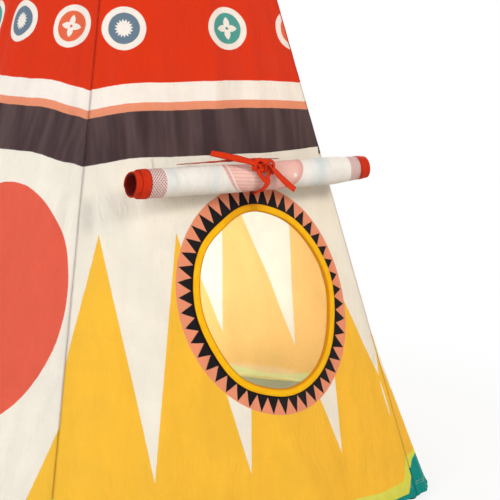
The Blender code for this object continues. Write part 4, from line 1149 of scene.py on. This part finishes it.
def make_ribbon():
    """The ribbon tied round the roll: two bands, the knot's turns and its two free ends."""
    ribbon_strip("ribbon_band_left", (
        (0.0245, 0.0085, -0.0165), (0.0232, 0.0014, -0.0178), (0.0224, -0.0063, -0.0135), (0.0214, -0.0128, -0.0075),
        (0.0172, -0.0185, -0.0088), (0.0085, -0.0222, -0.0140), (-0.0030, -0.0228, -0.0150),
        (-0.0130, -0.0190, -0.0140),
    ), None, 0.0062, "flap_ribbon", narrow=0.8)
    ribbon_strip("ribbon_band_right", (
        (0.0262, 0.0075, -0.0020), (0.0240, 0.0000, -0.0022), (0.0228, -0.0063, -0.0050), (0.0216, -0.0128, -0.0052),
        (0.0180, -0.0186, -0.0085), (0.0100, -0.0226, -0.0125),
    ), None, 0.0052, narrow=0.8)
    ribbon_strip("ribbon_band_top", (
        (0.0225, 0.0090, -0.0080), (0.0180, 0.0160, -0.0060), (0.0085, 0.0212, -0.0040), (-0.0040, 0.0222, -0.0020),
        (-0.0140, 0.0200, 0.0),
    ), None, 0.0090)
    ribbon_strip("ribbon_long_end", (
        (0.0262, 0.0080, -0.0100), (0.0268, 0.0118, -0.0180), (0.0240, 0.0155, -0.0275), (0.0160, 0.0222, -0.0420),
        (0.0060, 0.0300, -0.0600), (-0.0020, 0.0352, -0.0725),
    ), ((1, 0.1, 0), (1, 0.3, 0.1), (1, 0.35, 0), (1, 0.2, 0), (1, 0.3, 0), (1, 0.4, 0)), 0.0098, narrow=0.7)
    ribbon_strip("ribbon_short_end", (
        (0.0262, 0.0105, -0.0125), (0.0292, 0.0125, -0.0080), (0.0294, 0.0085, -0.0030), (0.0270, 0.0010, 0.0040),
        (0.0250, -0.0075, 0.0120), (0.0240, -0.0170, 0.0215), (0.0230, -0.0264, 0.0325),
    ), (
        (0.6, 1, 0), (1, 0.7, 0.2), (1, 0.3, 0.3), (1, 0.1, 0.2), (1, 0.0, 0.1), (1, 0.1, 0), (1, 0.2, 0),
    ), 0.0086, narrow=0.8, count=90)
    ribbon_strip("ribbon_wrap_left", (
        (0.0220, 0.0040, -0.0225), (0.0262, 0.0105, -0.0238), (0.0285, 0.0165, -0.0190), (0.0300, 0.0150, -0.0120),
        (0.0290, 0.0085, -0.0075), (0.0258, 0.0030, -0.0080),
    ), ((1, 0, -0.8), (1, 0.5, -0.6), (1, 0.9, 0), (1, 0.4, 0.5), (1, 0, 0.6), (0.8, -0.6, 0.4)), 0.0072)
    ribbon_strip("ribbon_wrap_right", (
        (0.0240, 0.0050, -0.0105), (0.0278, 0.0110, -0.0095), (0.0302, 0.0150, -0.0040), (0.0296, 0.0115, 0.0022),
        (0.0266, 0.0040, 0.0030), (0.0236, -0.0030, 0.0005),
    ), ((1, 0, -0.8), (1, 0.5, -0.5), (1, 0.8, 0.1), (1, 0.2, 0.7), (1, -0.2, 0.7), (0.9, -0.5, 0.3)), 0.0066)
    ribbon_strip("ribbon_lying", (
        (0.0035, 0.0220, -0.1256), (0.0045, 0.0220, -0.0850), (0.0050, 0.0223, -0.0430), (0.0035, 0.0226, -0.0100),
        (0.0025, 0.0206, 0.0240),
    ), ((0.10, 1, 0), (0.28, 1, 0), (0.42, 1, 0), (0.34, 1, 0), (0.10, 1, 0)), 0.0090, cup=0.0002)
    rows, count = 22, 36
    polar, ring = np.linspace(0, math.pi, rows)[:, None], np.linspace(0, 2 * math.pi, count, endpoint=False)
    crease = 1 + np.sin(polar) * (0.12 * np.sin(5 * ring + 3 * np.cos(polar)) + 0.06 * np.sin(11 * ring + 1.0))
    out = 0.0232 + 0.0050 * np.cos(polar) + 0 * ring
    up = 0.0068 + 0.0068 * np.sin(polar) * np.cos(ring) * crease
    right = -0.0105 + 0.0078 * np.sin(polar) * np.sin(ring) * crease
    ball = ROLL_CENTRE + out[..., None] * ROLL_OUT + up[..., None] * ROLL_UP
    ball = ball + (right[..., None] + RIBBON_PLACE) * ROLL_ALONG
    flat = maps(np.linspace(0, RIBBON_WIDTH, count), np.linspace(0, 0.03, rows - 2)[:, None])
    knot = rings_mesh("ribbon_knot", ball[1:-1], (ball[0, 0], ball[-1, 0]), flat, np.zeros((2, 2)), RIBBON)
    hang_on_flap(knot)


# ---------------------------------------------------------------- door

def door_swell(share, up, sign):
    """How far out a door flap hangs, by its shares from the hinge to the slit and from the hem up."""
    swell = share * (1 - up) * np.sin(3 * math.pi * share)
    soft = 0.0012 * np.sin(math.pi * share) * np.sin(9 * share + 14 * up * sign + 2) * (1 - up * 0.5)
    return DOOR_OUT * (0.006 * swell + soft)[..., None]


def make_door_flaps():
    """Two flaps that close the door, each hanging on its slanting fold line and sewn along the slit."""
    tall = DOOR_HEIGHT - HEM
    hinge_gap, slit_gap = 0.0010 * (math.hypot(DOOR_HALF_WIDTH, tall) / tall), 0.0005
    top = DOOR_HEIGHT - (hinge_gap + slit_gap + 0.006) / DOOR_HALF_WIDTH * tall
    for label, sign in (("right", 1), ("left", -1)):
        body = f"door_{label}"
        height = np.linspace(HEM, top, 150)[:, None]
        share = np.linspace(0, 1, 44)[None, ::-sign]
        wide = door_edge(height) - hinge_gap
        x = sign * (wide + (slit_gap - wide) * share)
        turn, height = turn_at(DOOR_SIDE, x, height), np.broadcast_to(height, x.shape)
        points = cover(DOOR_SIDE, turn, height) + door_swell(share, (height - HEM) / (top - HEM), sign)
        thick = CLOTH * (1 + hem_fold(height) + 0.8 * rise(0.0, 0.02, share * wide - wide + 0.02))
        finishes = [OUTSIDE[DOOR_SIDE], INSIDE[DOOR_SIDE]]
        piece = sheet_mesh(f"door_flap_cloth_{label}", points, spread(DOOR_SIDE, turn, height), thick, finishes)
        hang(piece, DOOR_SIDE, sign, f"door_flap_{label}", body)
        lines = []
        for edge in (0.009, 0.0065):
            level = np.linspace(0.03, top - 0.05, 120)
            wide = door_edge(level) - hinge_gap
            base = cover(DOOR_SIDE, turn_at(DOOR_SIDE, sign * edge, level), level)
            base = base + door_swell((wide - edge) / wide, (level - HEM) / (top - HEM), sign) + DOOR_OUT * 0.0002
            lines.append((base, np.broadcast_to(DOOR_OUT, base.shape)))
        hang(sew(f"door_flap_stitches_{label}", lines, PALE_THREAD), DOOR_SIDE, sign, body=body)


def make_door_ties():
    """Two ribbons on each side of the door, which tie its flap open."""
    share, s = np.linspace(0, 1, 60)[:, None], np.linspace(-1, 1, 7)
    height = TIE_HEIGHT + 0.004 - TIE_LENGTH * share
    outer = RIDGE_SLOPE * (APEX - TIE_HEIGHT) * math.sin(HALF_SIDE)
    for label, sign in (("right", 1), ("left", -1)):
        x = sign * (float(door_edge(TIE_HEIGHT)) + outer) / 2
        for index, lean in enumerate((0.011, -0.010)):
            spot = x + lean * share + s * TIE_WIDTH / 2 + 0.0022 * np.sin(share * 5 + index * 2) * share
            curl = 0.0012 + 0.0010 * index + 0.0016 * share * (1 + np.sin(share * 9 + 2 * index + s)) * 0.5
            curl = curl + 0.0004 * (1 - s * s)
            points = cover(DOOR_SIDE, turn_at(DOOR_SIDE, spot, height), height, curl)[::-1]
            places = maps((s + 1) * TIE_WIDTH / 2, share * 0.13)[::-1]
            tie = sheet_mesh(f"door_tie_{label}_{index + 1}", points, places, 0.0008, [RIBBON])
            hang(tie, DOOR_SIDE, sign, None if index else f"door_tie_{label}")
        across = x + np.array((-0.004, 0.004, 0.004, -0.004, -0.004))
        level = TIE_HEIGHT + np.array((-0.004, -0.004, 0.002, 0.002, -0.004))
        box = cover(DOOR_SIDE, turn_at(DOOR_SIDE, across, level), level, 0.0034)
        lines = [(box, np.broadcast_to(DOOR_OUT, box.shape))]
        thread = sew(f"door_tie_stitches_{label}", lines, RED_THREAD, pitch=0.002, length=0.0016)
        hang(thread, DOOR_SIDE, sign)


# ---------------------------------------------------------------- straps, loops, lashing and frame

def make_strap(name, node_name, k, height, width, finish):
    """A loop of webbing round a pole whose two ends meet and are sewn flat on the side next to it."""
    angle = (k + 0.5) * SIDE_ANGLE
    out = np.array((math.sin(angle), -math.cos(angle), 0.0))
    foot = np.array((0, AXIS_Y, 0)) + out * FOOT_RADIUS
    along = unit(np.array((0, AXIS_Y, CROSSING)) + np.cross((0.0, 0.0, 1.0), out) * POLE_OFFSET - foot)
    centre = foot + along * (height / along[2])
    next_side = k if (k + 1) % SIDES == DOOR_SIDE else (k + 1) % SIDES
    toward = 1 if next_side == k else -1
    x = cover(next_side, toward * HALF_SIDE * 0.999, height, -0.0020) - centre
    x = unit(x - along * x.dot(along))
    axes = np.stack((x, np.cross(along, x)))
    full = RIDGE_SLOPE * (APEX - height)
    far, near = (
        axes @ (cover(next_side, toward * (HALF_SIDE - away / full), height, -0.0029) - centre)
        for away in (0.022, 0.006))
    flip = 1 if far[1] > 0 else -1
    bend, angles = 0.0112, np.radians(np.linspace(330, 30, 40))
    arc = [(bend * math.cos(t), flip * bend * math.sin(t)) for t in angles]
    knots = np.array([*arc, *(near * (1 - share) + far * share for share in np.linspace(0, 1, 12))])
    path, s = smooth_path(centre + knots @ axes, 90), np.linspace(-1, 1, 7)[:, None]
    points = path[:, None] + along * (s * width / 2)
    places = maps((s[:, 0] + 1) * width / 2, lengths(path)[:, None])
    if grid_normals(points)[10, 3].dot(points[10, 3] - centre) < 0:
        points, places = points[:, ::-1], places[:, ::-1]
    strap = sheet_mesh(name, points, places, TAPE_THICKNESS, [finish])
    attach(strap, f"pole_{k + 1}")
    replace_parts(strap, node_name)


def make_lashing():
    """Twisted cotton cord wound four times round the crossing and tied off."""
    turn = np.linspace(0, 2 * math.pi * 4.15, 420)
    level = CROSSING - 0.0108 + 0.0071 * turn / (2 * math.pi)
    radius = 0.0330 + 0.0003 * np.sin(turn * 2.6)
    wound = np.stack((np.sin(turn) * radius, AXIS_Y - np.cos(turn) * radius, level), -1)
    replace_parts(rope_mesh("lashing_turns", wound, (0, 0, 1)), "crossing_lashing")
    tied = (
        ((0.001, 0, 0), (-0.006, -0.005, 0.002), (-0.010, -0.009, -0.008), (-0.014, -0.010, -0.026),
         (-0.016, -0.014, -0.046)),
        ((-0.008, -0.004, 0.024), (-0.002, -0.0075, 0.012), (0.005, -0.009, -0.002), (0.011, -0.011, -0.020),
         (0.013, -0.014, -0.038)),
    )
    for index, knots in enumerate(tied):
        rope_mesh(f"lashing_end_{index + 1}", smooth_path(wound[0] + np.array(knots), 60), (0, -1, 0))


def finish_frame_parts():
    """Wood, steel and rubber on the solids that stay as they are."""
    for name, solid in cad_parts.items():
        finish = None
        if name.startswith("pole_") and name.endswith(("_lower", "_upper")):
            finish = PINE
        elif name.endswith("_ferrule"):
            finish = STEEL
        elif name.startswith("foot_"):
            finish = RUBBER
        if finish:
            solid.data.materials.clear()
            solid.data.materials.append(finish)


# ---------------------------------------------------------------- camera, light and backdrop

def aim(made, place, direction):
    """Puts a lamp or the camera in its place, looking in a direction."""
    made.location = place
    made.rotation_mode = "QUATERNION"
    made.rotation_quaternion = direction.to_track_quat("-Z", "Y")


def make_camera():
    data = bpy.data.cameras.new("camera")
    data.lens, data.sensor_width = 126.61, 36.0
    camera = add_object("camera", data)
    aim(camera, (-0.82632, -2.522642, 0.8273), Vector((0.35920, 0.91342, -0.19139)))
    bpy.context.scene.camera = camera


def add_lamp(name, place, target, size, power, colour=(1, 1, 1)):
    data = bpy.data.lights.new(name, "AREA")
    data.shape, data.size, data.energy, data.color = "DISK", size, power, colour
    aim(add_object(name, data), place, Vector(target) - Vector(place))


def white_where_seen(surface, white, share, end="Material Output"):
    """Mixes plain white into a surface for the rays that see it, and leaves its light and shadow alone."""
    path = Sum.tree.nodes.new("ShaderNodeLightPath")
    camera, glossy, through = (Sum(path.outputs[f"Is {kind} Ray"]) for kind in ("Camera", "Glossy", "Transmission"))
    mix_surface(surface, white, camera.most(glossy).most(through) * share, end)


def make_studio():
    floor_finish, shader = new_finish("pale_floor")
    place = node("ShaderNodeTexCoord", output="Object")
    x, y, _ = split(place)
    colour = blend(tone(216, 214, 211), tone(210, 208, 205), noise(place, 60.0, 3.0))
    fill(shader, {"Base Color": colour, "Roughness": 0.7})
    white = node("ShaderNodeEmission", inputs={"Color": PLAIN_WHITE, "Strength": 1.0})
    white_where_seen(Sum(shader.outputs[0]), white, ((x * x + y * y) ** 0.5).step(0.35, 0.95, 0.80, 1.0))
    reach = 14.0
    corners = [(-reach, -reach, 0), (reach, -reach, 0), (reach, reach, 0), (-reach, reach, 0)]
    add_mesh("floor", corners, [(0, 1, 2, 3)], [floor_finish])
    world = bpy.data.worlds.new("studio")
    world.use_nodes = True
    bpy.context.scene.world = world
    Sum.tree = world.node_tree
    sky = world.node_tree.nodes["Background"]
    fill(sky, {"Color": PLAIN_WHITE, "Strength": 0.34})
    white = node("ShaderNodeBackground", inputs={"Color": PLAIN_WHITE, "Strength": 1.0})
    white_where_seen(Sum(sky.outputs[0]), white, 1.0, "World Output")
    add_lamp("key", (2.8, -2.5, 2.3), (0, 0, 0.6), 0.9, 86, (1.0, 0.95, 0.87))
    add_lamp("fill", (-3.0, -1.8, 1.6), (0, 0, 0.5), 2.0, 90, (0.89, 0.95, 1.0))
    add_lamp("rear", (0.8, 3.2, 2.4), (0, 0, 0.5), 2.2, 110)
    add_lamp("inside", (0.0, -0.01, 0.80), (0.03, 0.33, 0.02), 0.05, 0.6, (0.84, 0.95, 1.0))
    add_lamp("inside_low", (0.0, -0.04, 0.12), (0.03, 0.33, 0.16), 0.06, 1.85, (0.80, 0.93, 1.0))
    bpy.context.scene.view_settings.view_transform = "Standard"


make_camera()
for side in range(SIDES):
    make_side(side)
make_ground_flaps()
make_cover_stitches()
make_top_casing()
make_window_binding()
make_ridge_tapes()
make_roll()
make_ribbon()
make_door_flaps()
make_door_ties()
for k in range(SIDES):
    make_strap(f"webbing_strap_{k + 1}", f"pole_strap_{k + 1}", k, 0.321, 0.014, WEBBING)
    make_strap(f"elastic_loop_{k + 1}", f"hem_loop_{k + 1}", k, 0.060, 0.012, ELASTIC)
make_lashing()
finish_frame_parts()
make_studio()
